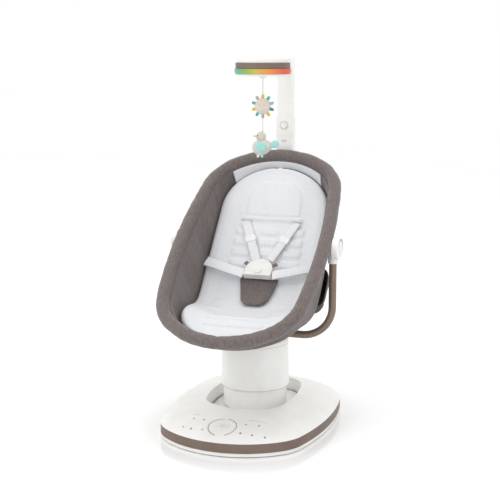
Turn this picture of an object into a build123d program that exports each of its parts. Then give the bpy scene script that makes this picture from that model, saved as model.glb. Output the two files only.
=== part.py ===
"""Baby swing: domed base, sliding column, turning U-frame with a reclining seat, post and mobile.

Millimetres, +Z up, the sitting child faces -Y. The origin is on the column's axis at floor level.
"""
from build123d import *
from math import atan2, cos, degrees, hypot, pi, radians, sin, sqrt, tan
import os

# ---------------------------------------------------------------- driving dimensions
GAP = 0.4                     # clearance between pieces of different bodies
SHELL = 3.0                   # wall of every moulded cover

FOOT_H = 3.0                  # rubber feet
RIM_Z = 12.5                  # lower edge of the trim band
BAND_TOP_Z = 38.0             # upper edge of the trim band
BAND_T = 4.0
RECESS_Z = 77.0               # rim of the recess round the column
FLOOR_Z = 41.0                # top of the recess floor

# Ovals of eight tangent arcs: corner circles at front and back, and the bows between them.
BASE = dict(fx=83, fy=-183, fr=122, bx=88, by=100, br=133, front=250, side=749, back=300)
RECESS = dict(fx=43, fy=-84, fr=70, bx=38, by=84, br=72, front=150, side=500, back=150)

SWING = 22.0                  # travel of the column to each side
COLLAR_R, COLLAR_TOP = 90.0, 104.5
COLUMN_R, COLUMN_TOP_R, COLUMN_TOP = 97.0, 94.5, 225.0
CORE_R, CORE_WALL = 38.0, 5.0
SWIVEL_R = 12.0
CAP_H = 17.0

ROD_R, ROD_Y, ROD_Z, ROD_HALF = 5.0, 60.0, 19.0, 112.0
RUN_FIT = 0.05                # radial clearance of running fits
GEAR_M, PINION_TEETH = 1.5, 12
RACK_Y = 84.0                 # pitch line of the rack
GEAR_Z0, GEAR_H = 14.0, 8.0

YOKE_R, YOKE_WALL = 10.5, 1.6
YOKE_HALF, YOKE_Z, YOKE_BEND = 223.5, 254.0, 85.0
HUB_Z, HUB_R, HUB_X0, HUB_X1 = 504.0, 32.0, 226.2, 244.5
AXLE_R = 6.0
PLATE_X0, PLATE_X1 = 204.0, 209.0

HOOP_Y, HOOP_Z, HOOP_TILT = -31.0, 514.0, 37.1
HOOP = dict(fx=52, fy=-197, fr=143, bx=52, by=197, br=140, front=235, side=1500, back=225)
HOOP_TUBE_R, HOOP_PAD_R = 8.0, 17.5
BUCKET_TAPER = 14.0           # the bucket's wall leans in by this much to its floor
BUCKET_DEPTH = 190.0
POCKET_DEPTH = 213.0          # dark pocket under the bucket, from the hoop's plane
POCKET_SPAN = (-64.0, 62.0)   # its stretch along the seat
FABRIC = 3.0
INSERT_T = 20.0
PAD_SIDE_GAP = 7.0

POST_W, POST_D, POST_Y = 48.0, 30.0, 290.0
SLEEVE_EXTRA = 4.0            # the lower post is this much wider
POST_FOOT_Z, POST_LOW_Z, POST_JOINT_Z, POST_TOP_Z = 232.0, 785.0, 837.0, 1015.0
BUTTON_Z, BUTTON_R, BUTTON_TRAVEL = 816.0, 9.0, 3.0
HEAD_Y, HEAD_R = 66.0, 79.0
HEAD_Z = dict(under=965.0, ring=971.0, band=985.0, cap=1002.0, top=1016.0)

MOTOR_R, MOTOR_L = 11.0, 46.0
DIAL_Y, DIAL_Z, DIAL_TILT, DIAL_BUTTON_R = -272.0, 63.4, 13.0, 17.0
PANEL_T = 0.8
FOOT_R = 14.0
FOOT_SPOTS = ((0, 0), (-130, -230), (130, -230), (-120, 175), (120, 175))
SCREW_SPOTS = ((-165, -170), (165, -170), (-175, 60), (175, 60), (-60, 215), (60, 215), (0, -290))
BACK_Y = BASE["by"] + BASE["br"] + 24.6   # outside of the band at the middle of the back
JACK_R, JACK_BORE_R, JACK_Z = 5.5, 2.8, 24.0
BUSH_R = 8.0
TOOTH_PLAY = 0.12             # taken off each flank
RACK_HALF = 46.0
RECLINE_R = 15.0
HANGER_R = 9.0
CORD_R = 1.2
SUN_Z, SUN_R = 882.0, 27.0
BIRD_Z, BIRD_TOP = 768.0, 812.0

# Places on the seat, from the middle of the hoop: across, towards the head, off the hoop's plane.
SLOT_X, SLOT_Y, SLOT_N = 78.0, 162.0, -85.0
BUCKLE_N, RELEASE_R = -119.0, 11.0


# ---------------------------------------------------------------- helpers
def put(node, shape):
    """Writes one sub-part."""
    export_step(shape, f"parts/{node}.step")


def cyl(radius, z0, z1, x=0.0, y=0.0):
    """Upright cylinder between two heights."""
    return Pos(x, y, (z0 + z1) / 2) * Cylinder(radius, z1 - z0)


def cyl_x(radius, x0, x1, y, z):
    """Cylinder along X."""
    return Pos((x0 + x1) / 2, y, z) * Rot(0, 90, 0) * Cylinder(radius, x1 - x0)


def cyl_y(radius, y0, y1, x, z):
    """Cylinder along Y."""
    return Pos(x, (y0 + y1) / 2, z) * Rot(90, 0, 0) * Cylinder(radius, y1 - y0)


def block(x0, x1, y0, y1, z0, z1):
    """Box between two corners."""
    return Pos((x0 + x1) / 2, (y0 + y1) / 2, (z0 + z1) / 2) * Box(x1 - x0, y1 - y0, z1 - z0)


def soft_block(x0, x1, y0, y1, z0, z1, radius):
    """Box with its upright edges rounded."""
    solid = block(x0, x1, y0, y1, z0, z1)
    return fillet(solid.edges().filter_by(Axis.Z), radius)


def bow_centre(p, rp, q, rq, bow):
    """Centre of the large arc that holds two circles, on the left of the way from p to q."""
    dx, dy = q[0] - p[0], q[1] - p[1]
    span = hypot(dx, dy)
    a, b = bow - rp, bow - rq
    along = (span**2 + a**2 - b**2) / (2 * span)
    up = sqrt(a**2 - along**2)
    return (p[0] + (dx * along - dy * up) / span, p[1] + (dy * along + dx * up) / span)


def oval(o, inset=0.0, z=0.0, shift=0.0):
    """Face inside eight tangent arcs, symmetric about X = 0, all parallel to the named oval."""
    corners = [((o["fx"], o["fy"]), o["fr"]), ((o["bx"], o["by"]), o["br"]),
               ((-o["bx"], o["by"]), o["br"]), ((-o["fx"], o["fy"]), o["fr"])]
    bows = [o["side"], o["back"], o["side"], o["front"]]
    centres = [bow_centre(corners[i][0], corners[i][1], corners[(i + 1) % 4][0],
                          corners[(i + 1) % 4][1], bows[i]) for i in range(4)]

    def angle(centre, point):
        return atan2(point[1] - centre[1], point[0] - centre[0])

    def arc(centre, radius, start, end):
        end += 2 * pi if end < start else 0
        points = [(centre[0] + radius * cos(t), centre[1] + shift + radius * sin(t))
                  for t in (start, (start + end) / 2, end)]
        return ThreePointArc(*points)

    edges = []
    for i in range(4):
        corner, radius = corners[i]
        before, after = centres[i - 1], centres[i]
        edges.append(arc(corner, radius - inset, angle(before, corner), angle(after, corner)))
        nxt = corners[(i + 1) % 4][0]
        edges.append(arc(after, bows[i] - inset, angle(after, corner), angle(after, nxt)))
    return Pos(0, 0, z) * make_face(Wire(edges))


def blend(a, b, t):
    """Oval part of the way from one to another."""
    return {key: a[key] * (1 - t) + b[key] * t for key in a}


def oval_ring(o, z0, z1, inset, wall):
    """Ring of one wall thickness that follows an oval."""
    return extrude(oval(o, inset, z0) - oval(o, inset + wall, z0), z1 - z0)


def both(solid):
    """A piece and its mirror image on the other side, as separate solids."""
    return Compound(children=[solid, mirror(solid, about=Plane.YZ)])


# ---------------------------------------------------------------- base
DOME_STEPS = ((0.0, 0.0), (0.16, 0.36), (0.5, 0.76), (1.0, 1.0))   # way inwards, way up


def dome(drop, inset):
    """Solid under the base's domed top, lowered and inset."""
    faces = [oval(blend(BASE, RECESS, t), inset, BAND_TOP_Z + (RECESS_Z - BAND_TOP_Z) * up - drop)
             for t, up in DOME_STEPS]
    return loft(faces)


def recess(grow):
    """The pocket round the column, or the solid round its wall."""
    return loft([oval(RECESS, 3.0 - grow, FLOOR_Z - 3.0 - grow), oval(RECESS, -0.6 - grow, RECESS_Z + 1)],
                ruled=True)


def panel_prism():
    """Outline of the printed panel, taken straight up through the dome."""
    return extrude(Pos(5, DIAL_Y + 2, 0) * RectangleRounded(262, 84, 40), 100)


def base_upper_shell():
    wall = recess(SHELL) & block(-200, 200, -250, 250, FLOOR_Z - 6.0, RECESS_Z + 0.5)
    shell = dome(0, 0) - dome(SHELL, SHELL)
    shell += wall & dome(0, 0)
    ledge = extrude(oval(RECESS, 1.0, FLOOR_Z - 6.0) - oval(RECESS, 16.0, FLOOR_Z - 6.0), 3.0)
    shell = shell - recess(0) + ledge
    skirt = oval_ring(BASE, RIM_Z + 6, BAND_TOP_Z + 1, BAND_T + 0.3, 2.5)
    rim = oval_ring(BASE, BAND_TOP_Z, BAND_TOP_Z + 1, 0.6, 9.0) & dome(0, 0)
    shell = shell + skirt + rim
    shell -= panel_prism() & (dome(0, 0) - Pos(0, 0, -PANEL_T) * dome(0, 0))
    shell -= cyl_y(JACK_R + 0.2, BACK_Y - 30.0, BACK_Y + 5.0, 0, JACK_Z)
    return shell - dial_frame() * Cylinder(DIAL_BUTTON_R + GAP, 24)


def control_panel():
    """Thin printed skin that follows the dome, with a hole for the dial's button."""
    skin = (dome(0, 0) - Pos(0, 0, -PANEL_T) * dome(0, 0)) & panel_prism()
    return skin - dial_frame() * Cylinder(DIAL_BUTTON_R + GAP, 24)


def dial_frame():
    """Place of the dial on the panel: its Z is the way out of the panel."""
    return Pos(0, DIAL_Y, DIAL_Z) * Rot(DIAL_TILT, 0, 0)


def dial_button():
    """Round push button in the middle of the dial, with a stem and a stop flange."""
    button = Pos(0, 0, -0.75) * Cylinder(DIAL_BUTTON_R, 3.0)
    flange = Pos(0, 0, -6.5) * Cylinder(DIAL_BUTTON_R + 2.0, 1.5)
    stem = Pos(0, 0, -4.0) * Cylinder(DIAL_BUTTON_R - 4.0, 4.0)
    return dial_frame() * (fillet((button).edges().sort_by(Axis.Z)[-1], 0.8) + flange + stem)


def base_lower_shell():
    """Flat tray with a stepped wall for the band, screw bosses and the guide rods' blocks."""
    tray = extrude(oval(BASE, 6.0, FOOT_H), SHELL)
    tray += oval_ring(BASE, FOOT_H, RIM_Z - 0.3, 1.5, 7.6)
    tray += oval_ring(BASE, RIM_Z - 1.0, RIM_Z + 5.5, BAND_T + 3.2, 2.0)
    for x, y in SCREW_SPOTS:
        tray += cyl(6.0, FOOT_H, 16.0, x, y)
        tray -= cyl(2.0, 0, 20.0, x, y)
        tray -= cyl(4.0, 0, FOOT_H + 2.4, x, y)
    for x, y in FOOT_SPOTS:
        tray -= cyl(FOOT_R + 0.1, 0, FOOT_H + 1.0, x, y)
    for x in (-ROD_HALF, ROD_HALF):
        for y in (-ROD_Y, ROD_Y):
            tray += block(x - 8, x + 8, y - 11, y + 11, FOOT_H + SHELL, ROD_Z + 9)
            tray -= cyl_x(ROD_R, x - 9, x + 9, y, ROD_Z)
    return tray - cyl_y(JACK_R + 0.2, BACK_Y - 30.0, BACK_Y + 5.0, 0, JACK_Z)


def base_trim_band():
    """Coloured band between the two shells, with a hole for the DC inlet."""
    band = oval_ring(BASE, RIM_Z, BAND_TOP_Z - 0.2, 0.0, BAND_T)
    return band - cyl_y(JACK_R + 0.2, BACK_Y - 30.0, BACK_Y + 5.0, 0, JACK_Z)


def dc_inlet():
    """Panel socket for a round DC plug."""
    socket = cyl_y(JACK_R, BACK_Y - 24.0, BACK_Y - 2.0, 0, JACK_Z)
    return socket - cyl_y(JACK_BORE_R, BACK_Y - 14.0, BACK_Y, 0, JACK_Z)


def base_feet():
    """Rubber feet, one of them under the column."""
    return Compound(children=[cyl(FOOT_R, 0, FOOT_H + 1.0, x, y) for x, y in FOOT_SPOTS])


def base_screws():
    """Pan-head screws that hold the two shells together."""
    return Compound(children=[cyl(3.6, FOOT_H + 0.2, FOOT_H + 2.2, x, y) + cyl(1.9, FOOT_H + 2, 15.5, x, y)
                              for x, y in SCREW_SPOTS])


def recess_floor():
    """Plate on the ledge at the bottom of the recess, slotted for the column's neck."""
    plate = extrude(oval(RECESS, 3.4, FLOOR_Z - SHELL), SHELL)
    slot = Pos(0, 0, FLOOR_Z - 10) * extrude(
        SlotOverall(2 * (CORE_R + SWING + 2.0), 2 * (CORE_R + 2.0)), 20)
    return plate - slot


def main_board():
    """Control circuit board under the panel, with the post of the dial's switch."""
    board = soft_block(-70, 70, -262, -212, 22.0, 23.6, 4.0)
    for x in (-45, -15, 15, 45):
        board += block(x - 6, x + 6, -246, -234, 23.6, 26.0)
    board += block(-24, 24, -292, -262, 22.0, 23.6)
    return board + cyl(6.0, 23.6, 38.0, 0, DIAL_Y - 4)


def loudspeaker():
    """Speaker: basket, magnet and cone, facing down to the grille."""
    basket = cyl(26.0, 8.0, 12.0, 92, -180) + cyl(15.0, 12.0, 24.0, 92, -180)
    return basket - Pos(92, -180, 9.0) * Cone(22.0, 9.0, 4.0)


def guide_rods():
    """Two steel rods that the carriage slides on."""
    return Compound(children=[cyl_x(ROD_R, -ROD_HALF - 8, ROD_HALF + 8, y, ROD_Z)
                              for y in (-ROD_Y, ROD_Y)])


# ---------------------------------------------------------------- drive
def rack_tooth_face(pitch):
    """One trapezoid tooth of the rack, in plan, pointing +Y from its pitch line."""
    half = pitch / 4 - TOOTH_PLAY
    lean = tan(radians(20))
    top, root = 0.75 * GEAR_M, 1.1 * GEAR_M
    points = [(-half - root * lean, -root), (half + root * lean, -root),
              (half - top * lean, top), (-half + top * lean, top)]
    return make_face(Polyline(*points, close=True))


def drive_rack():
    """Toothed bar on the carriage's back edge."""
    pitch = pi * GEAR_M
    count = 2 * int((SWING + 22.0) / pitch)
    bar = block(-RACK_HALF, RACK_HALF, RACK_Y - 8.0, RACK_Y - 1.1 * GEAR_M, GEAR_Z0, GEAR_Z0 + GEAR_H)
    for i in range(count):
        x = (i - (count - 1) / 2) * pitch
        tooth = extrude(rack_tooth_face(pitch), GEAR_H)
        bar += Pos(x, RACK_Y, GEAR_Z0) * tooth
    foot = block(-30, 30, RACK_Y - 17, RACK_Y - 4, GEAR_Z0 + GEAR_H, ROD_Z + 5.5)
    return bar + foot


def drive_pinion():
    """Spur pinion on its shaft, with involute flanks and one tooth pointing at the rack."""
    pitch_r = GEAR_M * PINION_TEETH / 2
    base_r = pitch_r * cos(radians(20))
    tip_r, root_r = pitch_r + 0.85 * GEAR_M, pitch_r - 1.0 * GEAR_M
    half = (pi / 2 / PINION_TEETH) - TOOTH_PLAY / pitch_r
    involute = tan(radians(20)) - radians(20)

    def flank(radius):
        pressure = sqrt(max((radius / base_r) ** 2 - 1, 0))
        return half + involute - (pressure - atan2(pressure, 1))

    radii = [base_r + (tip_r - base_r) * k / 4 for k in range(5)]
    points = []
    for tooth in range(PINION_TEETH):
        mid = -pi / 2 + 2 * pi * tooth / PINION_TEETH
        left = [(r, mid - flank(r)) for r in radii]
        right = [(r, mid + flank(r)) for r in reversed(radii)]
        first, last = (root_r, left[0][1]), (root_r, right[-1][1])
        points += [(r * cos(a), r * sin(a)) for r, a in [first] + left + right + [last]]
    gear = extrude(make_face(Polyline(*points, close=True)), GEAR_H)
    gear = Pos(0, RACK_Y + pitch_r, GEAR_Z0) * gear
    return gear + cyl(3.0, GEAR_Z0 - 3.0, GEAR_Z0 + GEAR_H + 2.0, 0, RACK_Y + pitch_r)


def gearbox():
    """Flat gearbox over the pinion: two plates on four pillars, with the shaft's bores."""
    y = RACK_Y + GEAR_M * PINION_TEETH / 2
    low = block(-22, 22, y - 7, y + 36, FOOT_H + SHELL, GEAR_Z0 - 1.5)
    high = block(-22, 22, y - 7, y + 36, GEAR_Z0 + GEAR_H + 1.0, GEAR_Z0 + GEAR_H + 6.5)
    box = low + high + block(-22, 22, y + 13, y + 36, GEAR_Z0 - 2, GEAR_Z0 + GEAR_H + 2)
    return box - cyl(3.0 + RUN_FIT, GEAR_Z0 - 3.5, 60, 0, y)


def swing_motor():
    """Small motor beside the gearbox."""
    y = RACK_Y + GEAR_M * PINION_TEETH / 2 + 22
    return cyl_x(MOTOR_R, 22.0, 22.0 + MOTOR_L, y, FOOT_H + SHELL + MOTOR_R + 1)


# ---------------------------------------------------------------- carriage and column
def carriage():
    """Plate on four bushing bosses; the column's core stands on it."""
    plate = soft_block(-70, 70, -ROD_Y - 14, ROD_Y + 14, ROD_Z + 5.5, ROD_Z + 10.5, 8.0)
    for x in (-50, 50):
        for y in (-ROD_Y, ROD_Y):
            plate += block(x - 14, x + 14, y - 11, y + 11, ROD_Z - 10, ROD_Z + 6)
            plate -= cyl_x(BUSH_R, x - 16, x + 16, y, ROD_Z)
    return plate


def carriage_bushings():
    """Four plain bushings that run on the rods."""
    spots = [(x, y) for x in (-50, 50) for y in (-ROD_Y, ROD_Y)]
    return Compound(children=[cyl_x(BUSH_R, x - 14, x + 14, y, ROD_Z)
                              - cyl_x(ROD_R + RUN_FIT, x - 15, x + 15, y, ROD_Z) for x, y in spots])


def column_core():
    """Steel tube with a welded head plate, which stands on the carriage."""
    z0 = ROD_Z + 10.5
    core = cyl(CORE_R, z0, COLUMN_TOP - 12) + cyl(COLUMN_TOP_R - SHELL - 0.5, COLUMN_TOP - 12, COLUMN_TOP - 4)
    return core - cyl(CORE_R - CORE_WALL, z0 + 5, COLUMN_TOP - 12) - cyl(SWIVEL_R, z0 + 5, 300)


def column_collar():
    """Lower cover of the column: a cup that also hides the slot in the recess floor."""
    cup = cyl(COLLAR_R, FLOOR_Z + 3.0, COLLAR_TOP)
    cup = fillet(cup.edges().sort_by(Axis.Z)[0], 3.0)
    cup -= cyl(COLLAR_R - SHELL, FLOOR_Z + 3.0 + SHELL, COLLAR_TOP + 1)
    return cup - cyl(CORE_R + 0.1, 0, 200)


def column_shell():
    """Upper cover of the column, slightly narrower at its top."""
    z0 = COLLAR_TOP + 0.8
    outer = loft([Pos(0, 0, z0) * Circle(COLUMN_R), Pos(0, 0, COLUMN_TOP) * Circle(COLUMN_TOP_R)])
    inner = loft([Pos(0, 0, z0 + SHELL) * Circle(COLUMN_R - SHELL),
                  Pos(0, 0, COLUMN_TOP + 1) * Circle(COLUMN_TOP_R - SHELL)])
    return outer - inner - cyl(CORE_R + 0.1, 0, COLUMN_TOP)


def swivel_bolt():
    """Shouldered pin that the seat frame turns on."""
    z0 = COLUMN_TOP - 12
    return cyl(SWIVEL_R, z0, COLUMN_TOP + CAP_H - 4) + cyl(SWIVEL_R + 8, z0 - 4, z0)


def swivel_washer():
    """Nylon thrust ring between the column's head plate and the turning cap."""
    return cyl(60.0, COLUMN_TOP - 4, COLUMN_TOP + 0.3) - cyl(30.0, 0, 300)


# ---------------------------------------------------------------- turning frame
def swivel_cap():
    """Turning cap on the column: rounded edge, bore for the bolt and saddle for the U-frame."""
    z0 = COLUMN_TOP + 0.6
    cap = cyl(COLUMN_TOP_R, z0, z0 + CAP_H)
    cap = fillet(cap.edges().sort_by(Axis.Z)[-1], 9.0)
    saddle = soft_block(-52, 52, -17, 17, z0 + CAP_H - 1, YOKE_Z + YOKE_R + 4.0, 6.0)
    cap = cap + saddle - cyl_x(YOKE_R, -60, 60, 0, YOKE_Z)
    return cap - cyl(SWIVEL_R + RUN_FIT, 0, COLUMN_TOP + CAP_H - 3.5)


def yoke_path():
    """Half of the U-frame's centre line, from the middle to the hub."""
    corner = YOKE_HALF - YOKE_BEND
    mid = (corner + YOKE_BEND * sin(pi / 4), YOKE_Z + YOKE_BEND * (1 - cos(pi / 4)))
    return [(corner, YOKE_Z), mid, (YOKE_HALF, YOKE_Z + YOKE_BEND)]


def u_frame():
    """Bent steel tube from hub to hub, under the seat."""
    start, mid, end = yoke_path()

    def pt(p, side=1):
        return (side * p[0], 0, p[1])

    top = (YOKE_HALF, HUB_Z - 16)
    path = Wire([Line(pt(top, -1), pt(end, -1)), ThreePointArc(pt(end, -1), pt(mid, -1), pt(start, -1)),
                 Line(pt(start, -1), pt(start)), ThreePointArc(pt(start), pt(mid), pt(end)),
                 Line(pt(end), pt(top))])
    section = Plane(origin=pt(top, -1), z_dir=(0, 0, -1)) * (Circle(YOKE_R) - Circle(YOKE_R - YOKE_WALL))
    return sweep(section, path=path)


def hub_housing():
    """Right hub: a socket on the tube's end and a round housing with the axle's bore."""
    socket = cyl(YOKE_R + 3.0, HUB_Z - 42, HUB_Z - 4, YOKE_HALF)
    drum = cyl_x(HUB_R, HUB_X0, HUB_X1, 0, HUB_Z)
    drum = fillet(drum.edges().sort_by(Axis.X)[-1], 5.0)
    boss = cyl_x(9.5, HUB_X0 - 13, HUB_X0, 0, HUB_Z)
    hub = drum + socket + boss
    hub -= cyl(YOKE_R, HUB_Z - 50, HUB_Z - 15.5, YOKE_HALF)
    hub -= cyl_x(AXLE_R, 0, HUB_X1 - 9, 0, HUB_Z)
    return hub - cyl_x(RECLINE_R + GAP, HUB_X1 - 9, HUB_X1 + 1, 0, HUB_Z)


def hub_axle():
    """Right axle pin of the seat, pressed in the hub."""
    return cyl_x(AXLE_R, PLATE_X0 - 3, HUB_X1 - 9.5, 0, HUB_Z)


def recline_button():
    """Right recline button, in the outer face of the hub."""
    button = cyl_x(RECLINE_R, HUB_X1 - 4.0, HUB_X1 + 2.0, 0, HUB_Z)
    return fillet(button.edges().sort_by(Axis.X)[-1], 1.5)


def button_springs():
    """Return springs of the recline buttons and the post's button, drawn fully pressed."""
    front = POST_Y - (POST_D + SLEEVE_EXTRA) / 2
    hub = cyl_x(7.0, HUB_X1 - 8.9, HUB_X1 - 7.3, 0, HUB_Z) - cyl_x(5.5, 0, 300, 0, HUB_Z)
    post = cyl_y(6.0, front + 10.6, front + 22.0, 0, BUTTON_Z) - cyl_y(4.4, 0, 400, 0, BUTTON_Z)
    return Compound(children=[hub, mirror(hub, about=Plane.YZ), post])


def post_arm():
    """Bracket from the cap back to the foot of the post."""
    z0 = COLUMN_TOP + 0.6 + CAP_H
    arm = block(-22, 22, 20, POST_Y - POST_D / 2 - 4, z0, z0 + 14)
    arm = fillet(arm.edges().filter_by(Axis.Y), 4.0)
    foot = block(-POST_W / 2 - 6, POST_W / 2 + 6, POST_Y - POST_D / 2 - 6, POST_Y + POST_D / 2 + 6,
                 POST_FOOT_Z, z0 + 34)
    foot = fillet(foot.edges().filter_by(Axis.Z), 8.0)
    hole = block(-POST_W / 2 - 2, POST_W / 2 + 2, POST_Y - POST_D / 2 - 2, POST_Y + POST_D / 2 + 2,
                 POST_FOOT_Z + 4, 400)
    hole = fillet(hole.edges().filter_by(Axis.Z), 6.0)
    return arm + foot - hole


def post_tube(z0, z1, extra, wall):
    """Rounded rectangular tube of the post between two heights."""
    outline = Pos(0, POST_Y, z0) * RectangleRounded(POST_W + extra, POST_D + extra, 6.0)
    inner = Pos(0, POST_Y, z0) * RectangleRounded(POST_W + extra - 2 * wall, POST_D + extra - 2 * wall, 4.0)
    return extrude(outline - inner, z1 - z0)


def post_lower():
    """Lower part of the post, from the bracket to the joint."""
    return post_tube(POST_FOOT_Z + 4, POST_LOW_Z, SLEEVE_EXTRA, 2.0)


def post_joint():
    """Joint cover between the two parts of the post, with the release button's hole."""
    cover = post_tube(POST_LOW_Z + 0.4, POST_JOINT_Z, SLEEVE_EXTRA, 2.0)
    return cover - cyl_y(BUTTON_R + GAP, 0, POST_Y, 0, BUTTON_Z)


def post_upper():
    """Upper part of the post; it reaches down inside the joint cover."""
    tube = post_tube(POST_LOW_Z - 40, POST_TOP_Z - 2, -0.2, 2.4)
    return tube - cyl_y(BUTTON_R + GAP, 0, POST_Y, 0, BUTTON_Z)


def post_button():
    """Release button of the post."""
    front = POST_Y - (POST_D + SLEEVE_EXTRA) / 2
    button = cyl_y(BUTTON_R, front - 2.5, front + 6.0, 0, BUTTON_Z)
    button = fillet(button.edges().sort_by(Axis.Y)[0], 1.2)
    return button + cyl_y(BUTTON_R + 1.2, front + 5.2, front + 7.2, 0, BUTTON_Z)


# ---------------------------------------------------------------- head
def head_top():
    """White cover of the head, with the arm that joins it to the post's top."""
    z0, z1 = HEAD_Z["cap"], HEAD_Z["top"]
    disc = cyl(HEAD_R - 6, z0, z1, 0, HEAD_Y)
    disc = fillet(disc.edges().sort_by(Axis.Z)[-1], 5.0)
    arm = block(-POST_W / 2, POST_W / 2, HEAD_Y + 40, POST_Y + POST_D / 2, z0 - 16, z1)
    arm = fillet(arm.edges().filter_by(Axis.Y).sort_by(Axis.Z)[-2:], 6.0)
    arm -= cyl(HEAD_R - 2.5, z0 - 20, z0, 0, HEAD_Y)
    bore = block(-POST_W / 2 - 0.1, POST_W / 2 + 0.1, POST_Y - POST_D / 2 - 0.1, POST_Y + POST_D / 2 + 0.1,
                 z0 - 20, POST_TOP_Z - 1.9)
    return disc + arm - bore


def head_band():
    """Coloured band round the head."""
    ring = cyl(HEAD_R - 3, HEAD_Z["band"] + 0.2, HEAD_Z["cap"] - 0.2, 0, HEAD_Y)
    return ring - cyl(HEAD_R - 6, 0, 2000, 0, HEAD_Y)


def light_ring():
    """Clear ring of the night light, chamfered to its lower edge."""
    z0, z1 = HEAD_Z["ring"], HEAD_Z["band"]
    solid = loft([Pos(0, HEAD_Y, z0) * Circle(HEAD_R - 2), Pos(0, HEAD_Y, z0 + 8) * Circle(HEAD_R)])
    solid += cyl(HEAD_R, z0 + 8, z1, 0, HEAD_Y)
    return solid - cyl(HEAD_R - 7, 0, 2000, 0, HEAD_Y)


def light_board():
    """Ring board with its row of small lamps."""
    z = HEAD_Z["ring"] + 4
    board = cyl(HEAD_R - 8, z, z + 1.6, 0, HEAD_Y) - cyl(HEAD_R - 26, 0, 2000, 0, HEAD_Y)
    for k in range(12):
        a = 2 * pi * k / 12
        r = HEAD_R - 12
        board += cyl(2.5, z + 1.6, z + 3.6, r * cos(a), HEAD_Y + r * sin(a))
    return board


def head_cover():
    """White cover under the head."""
    z0 = HEAD_Z["under"]
    cover = cyl(HEAD_R - 4.5, z0, HEAD_Z["ring"] - 0.2, 0, HEAD_Y)
    cover = fillet(cover.edges().sort_by(Axis.Z)[0], 2.5)
    cover -= cyl(HEAD_R - 9, z0 + 2.5, z0 + 30, 0, HEAD_Y)
    return cover - cyl(HANGER_R + GAP, 0, 2000, 0, HEAD_Y)


def mobile_motor():
    """Small gear motor that turns the hanger."""
    z0 = HEAD_Z["under"] + 9
    return cyl(15.0, z0, z0 + 22, 0, HEAD_Y) - cyl(3.0 + RUN_FIT, z0 - 1, z0 + 12, 0, HEAD_Y)


def mobile_hanger():
    """Turning hanger of the mobile, with its shaft and a ring for the ribbon."""
    z0 = HEAD_Z["under"]
    hanger = cyl(HANGER_R, z0 - 6, z0 + 7, 0, HEAD_Y) + cyl(3.0, z0 + 7, z0 + 19, 0, HEAD_Y)
    return fillet(hanger.edges().sort_by(Axis.Z)[0], 2.0)


# ---------------------------------------------------------------- mobile
def mobile_ribbon():
    """Ribbon from the hanger to the sun, as a plain tube."""
    return cyl(CORD_R, SUN_Z + SUN_R + 0.3, HEAD_Z["under"] - 6.4, 0, HEAD_Y)


def mobile_string():
    """String from the sun to the bird, as a plain tube."""
    return cyl(CORD_R, BIRD_TOP + 0.3, SUN_Z - SUN_R - 0.3, 0, HEAD_Y)


def sun_toy():
    """Stuffed disc with ten rounded rays."""
    sun = cyl_y(SUN_R - 8, HEAD_Y - 9, HEAD_Y + 9, 0, SUN_Z)
    sun = fillet(sun.edges(), 4.0)
    for k in range(10):
        a = pi / 2 + 2 * pi * k / 10
        r = SUN_R - 6.5
        sun += Pos(r * cos(a), HEAD_Y, SUN_Z + r * sin(a)) * Sphere(6.5)
    return sun


def bird_toy():
    """Stuffed bird: body, head, beak and tail."""
    body = Pos(0, HEAD_Y, BIRD_Z) * scale(Sphere(26), (1.0, 0.62, 0.85))
    head = Pos(-4, HEAD_Y, BIRD_Z + 30) * Sphere(14)
    beak = Pos(-22, HEAD_Y, BIRD_Z + 31) * Rot(0, -90, 0) * Cone(6, 1, 12)
    tail = Pos(36, HEAD_Y, BIRD_Z + 4) * scale(Sphere(14), (1.0, 0.4, 0.62))
    return body + head + beak + tail


# ---------------------------------------------------------------- seat
def seat_place():
    """Place of the reclined seat: its Y runs from foot to head and its Z is square to the hoop."""
    return Pos(0, HOOP_Y, HOOP_Z) * Rot(HOOP_TILT, 0, 0)


def hoop_wire():
    """Centre line of the hoop."""
    return oval(HOOP).face().outer_wire()


def hoop_tube():
    """Steel ring of the seat, inside its padded sleeve."""
    return seat_place() * ring_along(HOOP_TUBE_R)


def ring_along(radius):
    """Solid ring of a round section along the hoop."""
    wire = hoop_wire()
    start = wire @ 0
    section = Plane(origin=start, z_dir=wire % 0) * Circle(radius)
    return sweep(section, path=wire)


def hoop_padding():
    """Padded fabric sleeve round the hoop, notched for the two recline plates."""
    pad = ring_along(HOOP_PAD_R) - ring_along(HOOP_TUBE_R + 0.2)
    pad = seat_place() * pad
    for side in (1, -1):
        x0, x1 = sorted((side * (PLATE_X0 - 0.5), side * (PLATE_X1 + 0.5)))
        pad -= block(x0, x1, -26, 36, HUB_Z - 30, HUB_Z + 46)
    return pad


def recline_plate():
    """Right plate that joins the hoop's tube to the axle."""
    plate = block(PLATE_X0, PLATE_X1, -13, 24, HUB_Z + 8, HUB_Z + 40)
    plate += cyl_x(15.0, PLATE_X0, PLATE_X1, 0, HUB_Z)
    plate += block(PLATE_X0, PLATE_X1, -13, 13, HUB_Z, HUB_Z + 12)
    plate -= seat_place() * ring_along(HOOP_TUBE_R)
    plate = plate.solids().sort_by(SortBy.VOLUME)[-1]
    return plate - cyl_x(AXLE_R + RUN_FIT, 0, 300, 0, HUB_Z)


# Height of the insert's surface under the hoop's plane, from foot to head.
SEAT_PROFILE = ((-340, -34), (-235, -64), (-160, -118), (-92, -150), (0, -138), (90, -112),
                (170, -88), (250, -58), (335, -24))


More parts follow.
